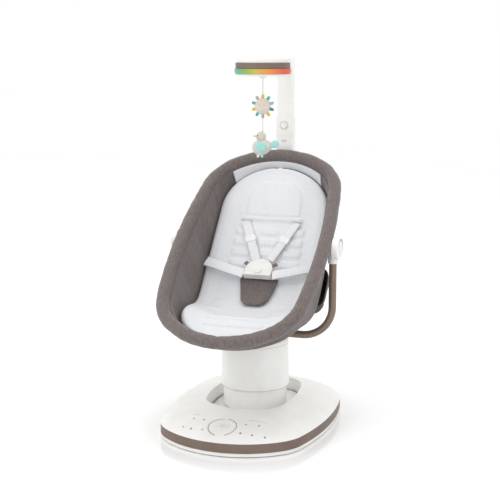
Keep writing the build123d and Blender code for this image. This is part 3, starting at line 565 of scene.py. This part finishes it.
# ------------------------------------------------------------------ base
@dataclass
class Base:
    """Domed base with its trim band, printed keys and dial."""

    dial_y: float = -276.0
    dial_middle: tuple[float, float] = (0.0, -272.0)
    key_size: float = 4.6
    dial_arc: tuple[float, float] = (37.5, 3.2)
    print_lift: float = 0.18
    keys: tuple[tuple[float, float, int], ...] = (
        (-108, -283, 3), (-82, -292, 5), (-49, -295, 3), (-91, -247, 4), (-61, -251, 24),
        (58, -252, 3), (87, -290, 24), (92, -246, 4), (120, -284, 4), (56, -292, 6))
    slit_inset: tuple[float, float] = (4.6, 6.6)
    slit_z: tuple[float, float] = (41.05, 41.9)
    surface: BVHTree | None = field(default=None, repr=False)

    def build(self) -> None:
        """Dresses the base and adds what is printed on it."""
        dress(["base_upper_shell", "base_lower_shell", "control_panel", "recess_floor"], Look.WHITE_ABS)
        dress(["base_trim_band"], Look.TRIM_ABS)
        dress(["dial_button"], Look.DIAL_ABS)
        dress(["dc_inlet", "loudspeaker"], Look.BLACK_ABS)
        dress(["base_feet"], Look.RUBBER)
        dress(["main_board"], Look.BOARD)
        dress(["gearbox"], Look.GREY_NYLON)
        dress(["guide_rods", "base_screws", "swing_motor"], Look.STEEL)
        dress(["drive_pinion"], Look.BRASS)
        tops, faces = [], []
        for name in ("control_panel", "base_upper_shell"):
            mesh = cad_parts[name].data
            start = len(tops)
            tops += [v.co.copy() for v in mesh.vertices]
            faces += [[start + i for i in p.vertices] for p in mesh.polygons]
        self.surface = BVHTree.FromPolygons(tops, faces)
        self.keys_and_arcs()
        self.dial_print()
        self.slit()

    def on_top(self, x: float, y: float, lift: float) -> Vector:
        """Point on the dome above a place in plan."""
        hit = self.surface.ray_cast(Vector((x * MM, y * MM, 0.2)), Vector((0, 0, -1)))
        return Vector((x * MM, y * MM, hit[0].z + lift * MM))

    def arc(self, x: float, y: float, radius: float, width: float, start: float, end: float,
            sides: int = 48) -> bpy.types.Object:
        """Thin printed arc on the dome, in millimetres and degrees."""
        rows = []
        for k in range(sides + 1):
            a = math.radians(start + (end - start) * k / sides)
            line = []
            for r, lift in ((radius - width / 2, -0.1), (radius - width / 2, self.print_lift),
                            (radius + width / 2, self.print_lift), (radius + width / 2, -0.1)):
                line.append(self.on_top(x + r * math.cos(a), y + r * math.sin(a), lift))
            rows.append(line)
        return skin("arc", rows, around=True, caps=abs(end - start) < 359)

    def keys_and_arcs(self) -> None:
        """Printed marks: the arcs round the dial, the touch keys and their brackets."""
        marks = [self.arc(x, y, self.key_size * (0.34 if sides > 6 else 0.5), self.key_size * 0.5,
                          90, 450 if sides > 6 else 420, sides) for x, y, sides in self.keys]
        dark = joined("panel_keys", marks)
        own(dark, Look.PRINT_DARK, "base", "panel_print")
        light = [self.arc(0, self.dial_y, *self.dial_arc, 100, 258),
                 self.arc(0, self.dial_y, *self.dial_arc, -62, 84),
                 self.arc(-90, -262, 38.0, 1.3, 75, 108), self.arc(82, -320, 95.0, 1.3, 76, 104)]
        own(joined("panel_lines", light), Look.PRINT_GREY, "base", "panel_print")

    def dial_print(self) -> None:
        """Small ring and dots printed on the dial's face, which ride with it."""
        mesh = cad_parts["dial_button"].data
        self.surface = BVHTree.FromPolygons([v.co.copy() for v in mesh.vertices],
                                            [list(p.vertices) for p in mesh.polygons])
        x, y = self.dial_middle
        marks = [self.arc(x, y, 4.6, 1.2, 0, 360)]
        for k in range(6):
            a = math.pi / 3 * k + 0.5
            marks.append(self.arc(x + 11.5 * math.cos(a), y + 11.5 * math.sin(a), 0.7, 0.9, 0, 360, 10))
        own(joined("dial_print", marks), Look.PRINT_GREY, "dial", "panel_print")

    def slit(self) -> None:
        """Brown seal in the gap between the recess's floor and its wall."""
        lines = [RECESS.outline(i, 160) for i in self.slit_inset]
        z0, z1 = self.slit_z
        rows = [[Vector((x, y, z)) * MM for x, y in line]
                for line, z in ((lines[0], z0), (lines[0], z1), (lines[1], z1), (lines[1], z0))]
        own(skin("recess_seal", rows, closed=True), Look.TRIM_ABS, "base", "trim_plastic")


# ------------------------------------------------------------------ column and turning frame
@dataclass
class Frame:
    """Column, turning cap, U-frame, hubs and post."""

    post_front: float = 273.0
    window_z: float = 771.0
    window_half: tuple[float, float] = (9.0, 4.5)
    ring_z: float = 816.0
    ring_radius: float = 12.2
    ring_section: tuple[tuple[float, float], ...] = ((-1.5, 0.3), (-1.5, -0.6), (-0.9, -1.1), (0.9, -1.1),
                                                     (1.6, -0.5), (1.6, 0.3))
    # painted shadow lines in the column's joints: name, radius and height of each ring
    shadow_rings: tuple[tuple[str, float, float], ...] = (("collar_shadow_ring", 97.0, 104.6), ("cap_shadow_ring", 94.5, 225.2))
    crescent_radius: float = 24.0
    hub: tuple[float, float, float] = (0.0, 504.0, 244.5)

    def build(self) -> None:
        """Dresses the frame and adds the window and the button's ring."""
        # the column takes the brighter white, which is painted light
        dress(["column_collar", "column_shell", "swivel_cap"], Look.COLUMN_ABS)
        dress(["post_arm", "post_lower", "post_joint", "post_upper", "post_button"], Look.WHITE_ABS)
        dress(["hub_housings"], Look.CAP_ABS)
        dress(["u_frame"], Look.FRAME)
        dress(["recline_button_right", "recline_button_left"], Look.CAP_ABS)
        dress(["carriage", "drive_rack", "swivel_washer"], Look.GREY_NYLON)
        dress(["carriage_bushings"], Look.BRASS)
        dress(["column_core", "swivel_bolt", "hub_axles", "button_springs", "recline_plates", "hoop_tube"],
              Look.STEEL)
        self.oval_plate("post_window", self.window_z, self.window_half, 0.9, Look.WINDOW)
        self.button_ring()
        self.hub_marks()
        # grey rings of painted shadow in the column's joints
        self.seams()

    def oval_plate(self, name: str, z: float, half: tuple[float, float], proud: float, look: Look) -> None:
        """Slightly crowned oval lens on the post's front."""
        rows = []
        for share, out in ((1.0, -0.1), (1.0, 0.5), (0.92, 0.85), (0.6, 1.0), (0.001, 1.0)):
            rows.append([Vector((half[0] * share * math.cos(a), self.post_front - proud * out,
                                 z + half[1] * share * math.sin(a))) * MM
                         for a in [2 * math.pi * k / 48 for k in range(48)]])
        own(skin(name, rows), look, "seat_frame", "white_plastic")

    def button_ring(self) -> None:
        """Raised ring round the post's release button."""
        rows = []
        for k in range(64):
            a = 2 * math.pi * k / 64
            rows.append([Vector(((self.ring_radius + dr) * math.cos(a), self.post_front + dy,
                                 self.ring_z + (self.ring_radius + dr) * math.sin(a))) * MM
                         for dr, dy in self.ring_section])
        own(skin("post_button_ring", rows, closed=True), Look.WINDOW, "seat_frame", "white_plastic")


    def seams(self) -> None:
        """Painted shadow: grey rings in the joints above the collar and under the turning cap, where the
        shell edges cast shade.
        """
        for name, radius, z in self.shadow_rings:
            rows = []
            for k in range(120):
                a = 2 * math.pi * k / 120
                rows.append([Vector(((radius + dr) * math.cos(a), (radius + dr) * math.sin(a), z + dz)) * MM
                             for dr, dz in ((-3.0, 0.6), (-3.0, -0.6), (0.15, -0.6), (0.15, 0.6))])
            own(skin(name, rows, closed=True), Look.WINDOW, "column", "grey_plastic")

    def hub_marks(self) -> None:
        """Grey crescents near the outer edge of both hub faces."""
        y, z, x = self.hub
        marks = []
        for side in (-1, 1):
            rows = []
            for k in range(49):
                a = math.radians(-35 + 190 * k / 48)
                wide = 2.2 * math.sin(math.pi * k / 48) + 0.2
                rows.append([Vector((side * (x + lift), y + (self.crescent_radius + r) * math.cos(a),
                                     z + (self.crescent_radius + r) * math.sin(a))) * MM
                             for r, lift in ((-wide, -0.4), (-wide, 0.2), (wide, 0.2), (wide, -0.4))])
            marks.append(skin("mark", rows, caps=True))
        own(joined("hub_crescents", marks), Look.BUTTON_ABS, "seat_frame", "grey_plastic")


# ------------------------------------------------------------------ head and mobile
@dataclass
class Head:
    """Round head with its colour ring."""

    def build(self) -> None:
        """Dresses the head."""
        dress(["head_top", "head_cover", "mobile_hanger"], Look.CAP_ABS)
        dress(["head_band"], Look.TRIM_ABS)
        dress(["light_ring"], Look.RING)
        dress(["light_board"], Look.BOARD)
        dress(["mobile_motor"], Look.BLACK_ABS)


@dataclass
class Mobile:
    """Ribbon, sun, string and bird under the head."""

    y: float = 66.0
    sun_z: float = 882.0
    sun_reach: float = 27.0
    ray_radius: float = 26.0
    face_radii: tuple[float, float, float] = (23.0, 9.0, 23.0)
    bird_z: float = 768.0
    cord_d: float = 2.4
    hanger_z: float = 958.6
    bird_top: float = 812.3
    rays: tuple[Look, ...] = (Look.TOY_YELLOW, Look.TOY_TEAL, Look.TOY_GREY, Look.TOY_DEEP, Look.TOY_YELLOW,
                              Look.TOY_LILAC, Look.TOY_TEAL, Look.TOY_YELLOW, Look.TOY_TEAL, Look.TOY_GREY)

    def build(self) -> None:
        """Makes the cords and the two toys."""
        self.cord("ribbon", self.hanger_z, self.sun_z + self.sun_reach + 0.3, "mobile_ribbon")
        self.cord("string", self.sun_z - self.sun_reach - 0.3, self.bird_top, "mobile_string")
        self.sun()
        self.bird()

    def cord(self, name: str, top: float, low: float, node: str) -> None:
        """Taut cord between two heights, held by the weight of the toys."""
        data = bpy.data.curves.new(name, "CURVE")
        data.dimensions = "3D"
        line = data.splines.new("NURBS")
        line.points.add(3)
        for point, share in zip(line.points, (0, 1 / 3, 2 / 3, 1)):
            point.co = (0, self.y * MM, (top + (low - top) * share) * MM, 1)
        line.order_u, line.use_endpoint_u = 3, True
        data.bevel_depth, data.bevel_resolution, data.use_fill_caps = self.cord_d / 2 * MM, 4, True
        piece = bpy.data.objects.new(name, data)
        bpy.context.scene.collection.objects.link(piece)
        own(piece, Look.CORD, "toys", "cord", node)

    def sun(self) -> None:
        """Stuffed sun: a round face and ten lobes."""
        lobes = []
        for k, look in enumerate(self.rays):
            a = math.pi / 2 - 2 * math.pi * k / len(self.rays)
            spot = (self.ray_radius * math.cos(a), self.y, self.sun_z + self.ray_radius * math.sin(a))
            lobes.append(blob("ray", spot, (8.0, 3.6, 4.0), finish(look), turn=-math.degrees(a), taper=-0.25))
        lobes.append(blob("face", (0, self.y, self.sun_z), self.face_radii, finish(Look.SUN_BEIGE), seam=0.8))
        for x in (-6.0, 6.0):
            lobes.append(blob("eye", (x, self.y - 8.0, self.sun_z + 3), (1.5, 0.9, 1.5),
                              finish(Look.TOY_DEEP), seam=0.1))
        own(joined("sun_plush", lobes), Look.SUN_BEIGE, "toys", "sun_fabric", "sun_toy")

    def bird(self) -> None:
        """Stuffed bird with felt wing, cheek, beak, tail and feet."""
        y, z = self.y, self.bird_z
        parts = [
            blob("body", (-2, y, z), (29, 15.5, 24), finish(Look.TOY_SAGE), turn=-14, taper=0.15, seam=0.8),
            blob("crown", (-5, y, z + 29), (14.5, 13, 14), finish(Look.TOY_SAGE), seam=0.7),
            blob("beak", (-22, y, z + 30), (8, 4, 4.5), finish(Look.TOY_BEAK), turn=184, taper=0.7),
            blob("tail", (33, y, z + 8), (15, 4.5, 8.5), finish(Look.TOY_AQUA), turn=-24, taper=-0.4),
            blob("foot", (-12, y - 4, z - 24), (4, 3, 6), finish(Look.WHITE_KNIT), turn=20),
            blob("foot", (-1, y - 4, z - 24), (4, 3, 6), finish(Look.TOY_AQUA), turn=-15),
            blob("tuft", (-2, y, z + 42), (3.2, 2.2, 4.0), finish(Look.TOY_YELLOW), turn=20)]
        for side in (-1, 1):
            parts.append(blob("wing", (-1, y + side * 13.2, z + 1), (16, 4, 14), finish(Look.TOY_AQUA),
                              turn=30, taper=0.2))
            parts.append(blob("cheek", (-8, y + side * 11.2, z + 26), (4, 1.6, 4), finish(Look.TOY_PEACH)))
            parts.append(blob("eye", (-11, y + side * 11.3, z + 32), (2.1, 1.3, 2.1),
                              finish(Look.BLACK_ABS), seam=0.1))
        own(joined("bird_plush", parts), Look.TOY_SAGE, "toys", "bird_fabric", "bird_toy")


# ------------------------------------------------------------------ seat
@dataclass
class Seat:
    """Padded hoop, cloth bucket, insert, crotch pad and pocket."""

    sleeve_r: float = 17.5
    around: int = 360
    seams: tuple[float, ...] = (0.03, 0.10, 0.17, 0.235, 0.30, 0.365, 0.43, 0.50, 0.57, 0.635, 0.70, 0.765,
                                0.83, 0.90, 0.97)
    wall_inset: float = 19.0
    wall_taper: float = 14.0
    wall_depth: float = 190.0
    fold_depth: float = 1.5
    insert_inset: float = 29.0
    insert_t: float = 20.0
    insert_span: tuple[float, float] = (-326.0, 327.0)
    insert_grid: tuple[int, int] = (216, 104)
    bolster_rise: float = 9.0
    roll_rise: float = 21.0
    roll_y: float = -188.0
    roll_spread: float = 50.0
    arch_rise: float = 4.2
    bar_rise: float = 5.5
    cell_rise: float = 4.5
    rib_rise: float = 4.8
    knee_rise: float = 3.5
    head_flare: float = 7.0
    edge_r: float = 15.0

    def build(self) -> None:
        """Makes the soft pieces of the seat."""
        self.sleeve()
        self.bucket()
        self.liner()
        self.insert()
        self.crotch_pad()
        self.pocket()

    def sleeve(self) -> None:
        """Padded sleeve round the hoop, with cross seams that pull it in and shallow creases."""
        line = HOOP.outline(0.0, self.around)
        rows = []
        for k, (x, y) in enumerate(line):
            before, after = line[k - 1], line[(k + 1) % self.around]
            way = Vector((after[0] - before[0], after[1] - before[1])).normalized()
            out = Vector((way.y, -way.x))
            s = k / self.around
            pinch = sum(math.exp(-((s - seam) / 0.0022) ** 2) for seam in self.seams)
            pull = sum(math.exp(-((s - seam) / 0.012) ** 2) for seam in self.seams)
            row = []
            for j in range(36):
                a = 2 * math.pi * j / 36
                crease = 0.35 * math.sin(61 * 2 * math.pi * s + 2.2 * math.sin(a)) * math.sin(a * 2 + 5 * s)
                crease += 0.3 * math.sin(23 * 2 * math.pi * s + 3 * a)
                r = self.sleeve_r - 1.0 * pinch - 0.5 * pull + crease + 0.4
                side = r * math.cos(a)
                row.append(seat_point(x + out.x * side, y + out.y * side, r * math.sin(a)))
            rows.append(row)
        piece = skin("hoop_sleeve", rows, closed=True)
        own(piece, Look.TAUPE_CLOTH, "seat", "taupe_fabric", "hoop_padding")

    def folds(self, s: float, down: float) -> float:
        """How far the bucket's wall moves out at a place along the hoop and down the wall."""
        turn = 2 * math.pi * s
        wave = (math.sin(14 * turn + 1.3 * math.sin(9 * s)) + 0.5 * math.sin(9 * turn + 2.0)
                + 0.25 * math.sin(37 * turn))
        return self.fold_depth * wave * math.sin(math.pi * min(1.0, down)) ** 0.7

    def wall_rows(self, inset: float, steps: int, low: float, bulge: bool = True) -> list[Ring]:
        """Rows of the bucket's wall from under the hoop down to the floor."""
        rows = []
        top = -3.0
        outlines = [HOOP.outline(inset + self.wall_taper * k / 20, self.around) for k in range(21)]
        for step in range(steps + 1):
            down = step / steps
            row = []
            for k in range(self.around):
                y_top = outlines[0][k][1]
                base = max(seat_floor(y_top) - low, -self.wall_depth)
                n = top + (base - top) * down
                share = min(1.0, max(0.0, -n / self.wall_depth)) * 20
                i = min(19, int(share))
                a, b = outlines[i][k], outlines[i + 1][k]
                x, y = a[0] + (b[0] - a[0]) * (share - i), a[1] + (b[1] - a[1]) * (share - i)
                if bulge:
                    length = math.hypot(x, y)
                    push = self.folds(k / self.around, down) - 1.5
                    x, y = x + x / length * push, y + y / length * push
                row.append(seat_point(x, y, n))
            rows.append(row)
        return rows

    def bucket(self) -> None:
        """Cloth bucket: a wall with soft folds and a floor that follows the insert."""
        rows = self.wall_rows(self.wall_inset, 26, self.insert_t + 7.0)
        tuck = HOOP.outline(self.wall_inset - 7.0, self.around)
        rows.insert(0, [seat_point(x, y, -1.0) for x, y in tuck])
        last = HOOP.outline(self.wall_inset + self.wall_taper * 0.75, self.around)
        for share in (0.93, 0.85, 0.7, 0.5, 0.25, 0.0001):
            row = []
            for x, y in last:
                sag = 7.5 + 3.0 * math.sin(math.pi * share)
                n = max(seat_floor(y) - self.insert_t - sag, -self.wall_depth)
                row.append(seat_point(x * share, y * (0.985 if share < 0.9 else 0.995), n))
            rows.append(row)
        piece = skin("bucket_cloth", rows)
        modify(piece, "SOLIDIFY", thickness=0.0022, offset=0.0)
        own(piece, Look.WALL_CLOTH, "seat", "bucket_fabric", "seat_bucket")

    def liner(self) -> None:
        """White liner of the bucket behind the insert's head end."""
        rows = self.wall_rows(self.wall_inset + 4.6, 8, self.insert_t - 6.0, bulge=False)
        line = HOOP.outline(self.wall_inset, self.around)
        keep = [k for k in range(self.around) if line[k][1] > 283]
        order = [k for k in keep if k > self.around / 2] + [k for k in keep if k <= self.around / 2]
        piece = skin("head_liner", [[row[k] for k in order] for row in rows], around=False)
        modify(piece, "SOLIDIFY", thickness=0.0016, offset=0.0)
        own(piece, Look.WHITE_KNIT, "seat", "white_fabric")

    @staticmethod
    def patch(x: float, y: float, mid: tuple[float, float], half: tuple[float, float], corner: float,
              soft: float = 5.0) -> float:
        """Share from 0 outside to 1 inside a rounded rectangle with a soft edge."""
        dx = abs(x - mid[0]) - half[0] + corner
        dy = abs(y - mid[1]) - half[1] + corner
        away = math.hypot(max(dx, 0), max(dy, 0)) + min(max(dx, dy), 0) - corner
        return 1 - smooth(away, -soft, 0.0)

    def relief(self, x: float, y: float) -> float:
        """Embossed shapes of the insert, as height in millimetres."""
        height = 0.0
        arch = self.patch(x, y, (0, 205), (84, 76), 62, 6.0) * (1 - smooth(-y, -186, -180))
        height += self.arch_rise * arch + 0.4 * arch * math.sin(2 * math.pi * y / 8.0)
        height += self.bar_rise * self.patch(x, y, (0, 172), (92, 7), 6, 4.0)
        for row in range(4):
            mid = 134 - 33 * row
            for centre, half in ((0, 30 - 1.5 * row), (-76, 30), (76, 30)):
                height += self.cell_rise * self.patch(x, y, (centre, mid), (half, 13.0), 9, 6.0)
        for row in range(3):
            rib = self.patch(x, y, (0, -196 - 27 * row), (112 - 12 * row, 10.5), 9, 6.0)
            height += self.rib_rise * rib
        for side in (-1, 1):
            height += self.knee_rise * self.patch(x, y, (side * 96, -120), (26, 34), 14, 8.0)
        return height

    def insert(self) -> None:
        """Padded insert: crowned edges, side bolsters, a foot roll and embossed quilting."""
        width = HOOP.half_width(self.insert_inset + 6.0)
        (low, high), (ny, nx) = self.insert_span, self.insert_grid
        top, under = [], []
        for j in range(ny + 1):
            y = low + (high - low) * j / ny
            end = min(y - low, high - y)
            w = max(width(y) + self.head_flare * smooth(y, 60, 220), 8.0)
            w *= 1 - max(0.0, 1 - end / 26.0) ** 2 * 0.14
            row_top, row_low = [], []
            for i in range(nx + 1):
                u = -math.cos(math.pi * i / nx) * 0.35 + (2 * i / nx - 1) * 0.65
                x = u * w
                edge = min(w - abs(x), end + 0.01)
                round_off = math.sqrt(max(0.0, 1 - (1 - min(edge / self.edge_r, 1.0)) ** 2))
                bolster = self.bolster_rise * smooth(abs(x), w - 62, w - 22)
                bolster *= 1 - smooth(abs(y + 30), 220, 300) * 0.7
                roll = self.roll_rise * math.exp(-((y - self.roll_y) / self.roll_spread) ** 2)
                roll *= smooth(abs(x), 62, 138)
                crown = 3.0 * math.cos(math.pi / 2 * min(1.0, abs(u)))
                lump = 0.5 * math.sin(x / 21 + 1.1 * math.sin(y / 33)) * math.sin(y / 27 + 0.8)
                mid = seat_floor(y) - self.insert_t / 2
                rise = self.insert_t / 2 + bolster + roll - crown + lump + self.relief(x, y)
                row_top.append(seat_point(x, y, mid + rise * round_off))
                row_low.append(seat_point(x, y, mid - (self.insert_t / 2 - 0.6) * round_off))
            top.append(row_top)
            under.append(row_low)
        rings = [a + list(reversed(b))[1:-1] for a, b in zip(top, under)]
        piece = skin("seat_pad", rings, caps=True)
        own(piece, Look.WHITE_KNIT, "seat", "white_fabric", "seat_insert", "seat_boards")

    def pad(self, name: str, outline: Sequence[tuple[float, float]], lift: float, thick: float,
            seam_at: float) -> bpy.types.Object:
        """Flat sewn pad that lies on the insert.

        Args:
            name: piece name.
            outline: corner points (x, y) on the seat.
            lift: gap under it.
            thick: its thickness.
            seam_at: distance of the stitched channel from its edge, as a share of its half-width.

        Returns:
            The pad.
        """
        dense = even(list(outline) + [outline[0]], 120)
        for _ in range(6):
            dense = [((a[0] + b[0] * 2 + c[0]) / 4, (a[1] + b[1] * 2 + c[1]) / 4)
                     for a, b, c in zip(dense[-1:] + dense[:-1], dense, dense[1:] + dense[:1])]
        cx, cy = sum(p[0] for p in dense) / len(dense), sum(p[1] for p in dense) / len(dense)
        shares = [1.0 - 0.02 * k for k in range(16)] + [0.66, 0.6, 0.5, 0.4, 0.3, 0.2, 0.1, 0.001]

        def height(share: float) -> float:
            swell = math.sqrt(max(0.0, 1 - (1 - min((1 - share) / 0.1, 1.0)) ** 2))
            return swell * (1 - 0.28 * math.exp(-((1 - share - seam_at) / 0.018) ** 2))

        rows = []
        for side, steps in ((-1, list(reversed(shares))), (1, shares)):
            for share in steps:
                row = []
                for x, y in dense:
                    px, py = cx + (x - cx) * share, cy + (y - cy) * share
                    up = thick / 2 * (1 + side * height(share))
                    row.append(seat_point(px, py, seat_floor(py) + lift + up))
                rows.append(row)
        return skin(name, rows)

    def crotch_pad(self) -> None:
        """Taupe pad between the legs, narrowing to the foot end."""
        piece = self.pad("crotch_cushion", ((-58, -14), (58, -14), (47, -60), (38, -94), (22, -111),
                                            (-22, -111), (-38, -94), (-47, -60)), 1.5, 9.5, 0.13)
        own(piece, Look.TAUPE_CLOTH, "seat", "taupe_fabric", "crotch_pad")

    def pocket(self) -> None:
        """Sagging pocket under the bucket, in taupe cloth darkened as painted shade."""
        x0, y0, y1 = 188.0, -74.0, 63.0
        count, rows = 160, []
        for step in range(13):
            down = step / 12
            row = []
            for k in range(count):
                a = 2 * math.pi * (k + 0.5) / count
                c, s = math.cos(a), math.sin(a)
                x = x0 * math.copysign(abs(c) ** 0.35, c)
                y = (y0 + y1) / 2 + (y1 - y0) / 2 * math.copysign(abs(s) ** 0.35, s)
                start = seat_floor(y) - self.insert_t - 10.5
                low = -217.0 + 6.0 * (abs(x) / x0) ** 2
                n = start + (low - start) * down
                crease = 1.4 * math.sin(k * 0.9 + 2 * math.sin(k * 0.13)) * math.sin(math.pi * down)
                lean = 1 - 0.05 * down**2
                row.append(seat_point((x + crease * c) * lean, y + crease * s, n))
            rows.append(row)
        bottom = rows[-1]
        mid = sum(bottom, Vector()) / count
        for share in (0.92, 0.75, 0.5, 0.25, 0.001):
            rows.append([mid + (p - mid) * share for p in bottom])
        piece = skin("pocket_cloth", rows)
        modify(piece, "SOLIDIFY", thickness=0.002, offset=0.0)
        own(piece, Look.DARK_CLOTH, "seat", "dark_fabric", "under_pocket")


# ------------------------------------------------------------------ harness
@dataclass
class Harness:
    """Straps, sliders and buckle."""

    slot: tuple[float, float, float] = (78.0, 162.0, -85.0)
    buckle_end: tuple[float, float, float] = (20.0, 38.0, -116.0)
    waist: tuple[tuple[int, int, int], ...] = ((163, 12, -106), (130, 4, -108), (95, -6, -111),
                                               (62, -14, -113))
    slot_width: tuple[float, float] = (62.0, 94.0)

    def build(self) -> None:
        """Makes the straps and dresses the buckle."""
        dress(["buckle", "buckle_button"], Look.BUCKLE_ABS)
        dress(["strap_adjuster_left", "strap_adjuster_right"], Look.CAP_ABS)
        shoulder = [self.strap([(s * a, b, n) for a, b, n in self.shoulder_line()], 25.0, 1.8)
                    for s in (1, -1)]
        own(joined("shoulder_webbing", shoulder), Look.WHITE_WEB, "seat", "webbing", "shoulder_straps")
        waist = [self.strap([(s * x, y, n) for x, y, n in (*self.waist, (42, -19, -115))], 32.0, 7.5)
                 for s in (1, -1)]
        piece = own(joined("waist_pads", waist), Look.WHITE_KNIT, "seat", "webbing", "waist_straps")
        edge = (*self.waist, (44, -19, -115))
        piping = [self.strap([(s * x, y + side * 15.5, n + 1.0) for x, y, n in edge], 2.4, 2.4)
                  for s in (1, -1) for side in (-1, 1)]
        own(joined("waist_piping", piping), Look.PIPING, "seat", "webbing")
        self.tongues()
        self.slots()

    def shoulder_line(self) -> list[tuple[float, float, float]]:
        """Points down the right shoulder strap."""
        a, b = self.slot, self.buckle_end
        return [tuple(a[i] + (b[i] - a[i]) * t for i in range(3)) for t in (0, 0.2, 0.4, 0.6, 0.8, 1.0)]

    @staticmethod
    def strap(line: Sequence[tuple[float, float, float]], width: float, thick: float) -> bpy.types.Object:
        """Flat strap with rounded edges and two sewn lines along it.

        Args:
            line: points of its middle on the seat.
            width: across.
            thick: through.

        Returns:
            The strap.
        """
        points = even(list(line) + [line[-1]], 60) + [line[-1]]
        rows = []
        for k, (x, y, n) in enumerate(points):
            a, b = points[max(0, k - 1)], points[min(len(points) - 1, k + 1)]
            way = Vector((b[0] - a[0], b[1] - a[1], 0)).normalized()
            side = Vector((way.y, -way.x, 0))
            row = []
            for j in range(28):
                t = 2 * math.pi * j / 28
                across = math.copysign(abs(math.cos(t)) ** 0.5, math.cos(t)) * width / 2
                up = math.copysign(abs(math.sin(t)) ** 0.6, math.sin(t)) * thick / 2
                up *= 1 - 0.3 * math.exp(-((abs(across) - width * 0.40) / (width * 0.03)) ** 2)
                row.append(seat_point(x + side.x * across, y + side.y * across, n + up))
            rows.append(row)
        return skin("strap", rows, caps=True)

    def tongues(self) -> None:
        """Cloth sleeves of the waist tongues, tucked under the buckle's upper corners."""
        tongues = [self.strap([(s * 47, 22, -112.0), (s * 26, 6, -110.0)], 12.0, 5.0)
                   for s in (1, -1)]
        own(joined("buckle_tongues", tongues), Look.TRIM_ABS, "seat", "taupe_fabric")


    def slots(self) -> None:
        """Bound openings of the insert that the shoulder straps come out of."""
        y, (near, far) = 164.0, self.slot_width
        n = seat_floor(y) + 5.6
        marks = [self.strap([(s * near, y, n), (s * far, y, n)], 4.0, 1.6) for s in (1, -1)]
        own(joined("strap_slots", marks), Look.PIPING, "seat", "white_fabric")


# ------------------------------------------------------------------ stage
@dataclass
class Stage:
    """Floor, light and camera."""

    place: tuple[float, float, float] = (0.938, -2.850, 1.030)
    pitch: float = 10.07
    yaw: float = 18.5
    lens: float = 78.55
    lamps: tuple[tuple[str, tuple[float, float, float], float, float], ...] = (
        ("key", (-2.2, -2.4, 3.2), 2.2, 30.0), ("fill", (3.0, -2.0, 2.0), 2.4, 8.0),
        ("top", (0.3, 0.6, 3.6), 2.0, 14.0), ("back", (-1.0, 3.2, 2.6), 2.4, 10.0))

    def build(self) -> None:
        """Makes the stage."""
        deselect()
        bpy.ops.mesh.primitive_plane_add(size=40, location=(0, 0, 0))
        floor = bpy.context.object
        floor.name = "floor"
        material, tree, shader, place = new_material("pale_floor", {"Roughness": 0.14, "IOR": 1.4})
        cloud = add_node(tree, "TexNoise", {"Scale": 0.8}, {"Vector": place})
        tree.links.new(shades(tree, cloud.outputs[0], "FCFCFC", "FEFEFE"), shader.inputs["Base Color"])
        floor.data.materials.append(material)
        world = bpy.data.worlds.new("soft_room")
        world.use_nodes = True
        world.node_tree.nodes["Background"].inputs[0].default_value = linear("FFFFFF")
        world.node_tree.nodes["Background"].inputs[1].default_value = 1.0
        bpy.context.scene.world = world
        for name, spot, size, power in self.lamps:
            data = bpy.data.lights.new(name, "AREA")
            data.size, data.energy = size, power
            lamp = bpy.data.objects.new(name, data)
            lamp.location = spot
            lamp.rotation_euler = (Vector((0, 0, 0.45)) - Vector(spot)).to_track_quat("-Z", "Y").to_euler()
            bpy.context.scene.collection.objects.link(lamp)
        data = bpy.data.cameras.new("camera")
        data.lens, data.sensor_width = self.lens, 36.0
        camera = bpy.data.objects.new("camera", data)
        camera.location = self.place
        camera.rotation_euler = (math.radians(90 - self.pitch), 0, math.radians(self.yaw))
        bpy.context.scene.collection.objects.link(camera)
        bpy.context.scene.camera = camera
        bpy.context.scene.view_settings.view_transform = "Standard"


def main() -> None:
    """Builds every part of the swing."""
    logging.basicConfig(level=logging.INFO, format="%(message)s")
    for part in (Stage(), Mobile(), Base(), Frame(), Head(), Seat(), Harness()):
        LOG.info("building %s", type(part).__name__)
        part.build()
    deselect()


if __name__ == "__main__":
    main()
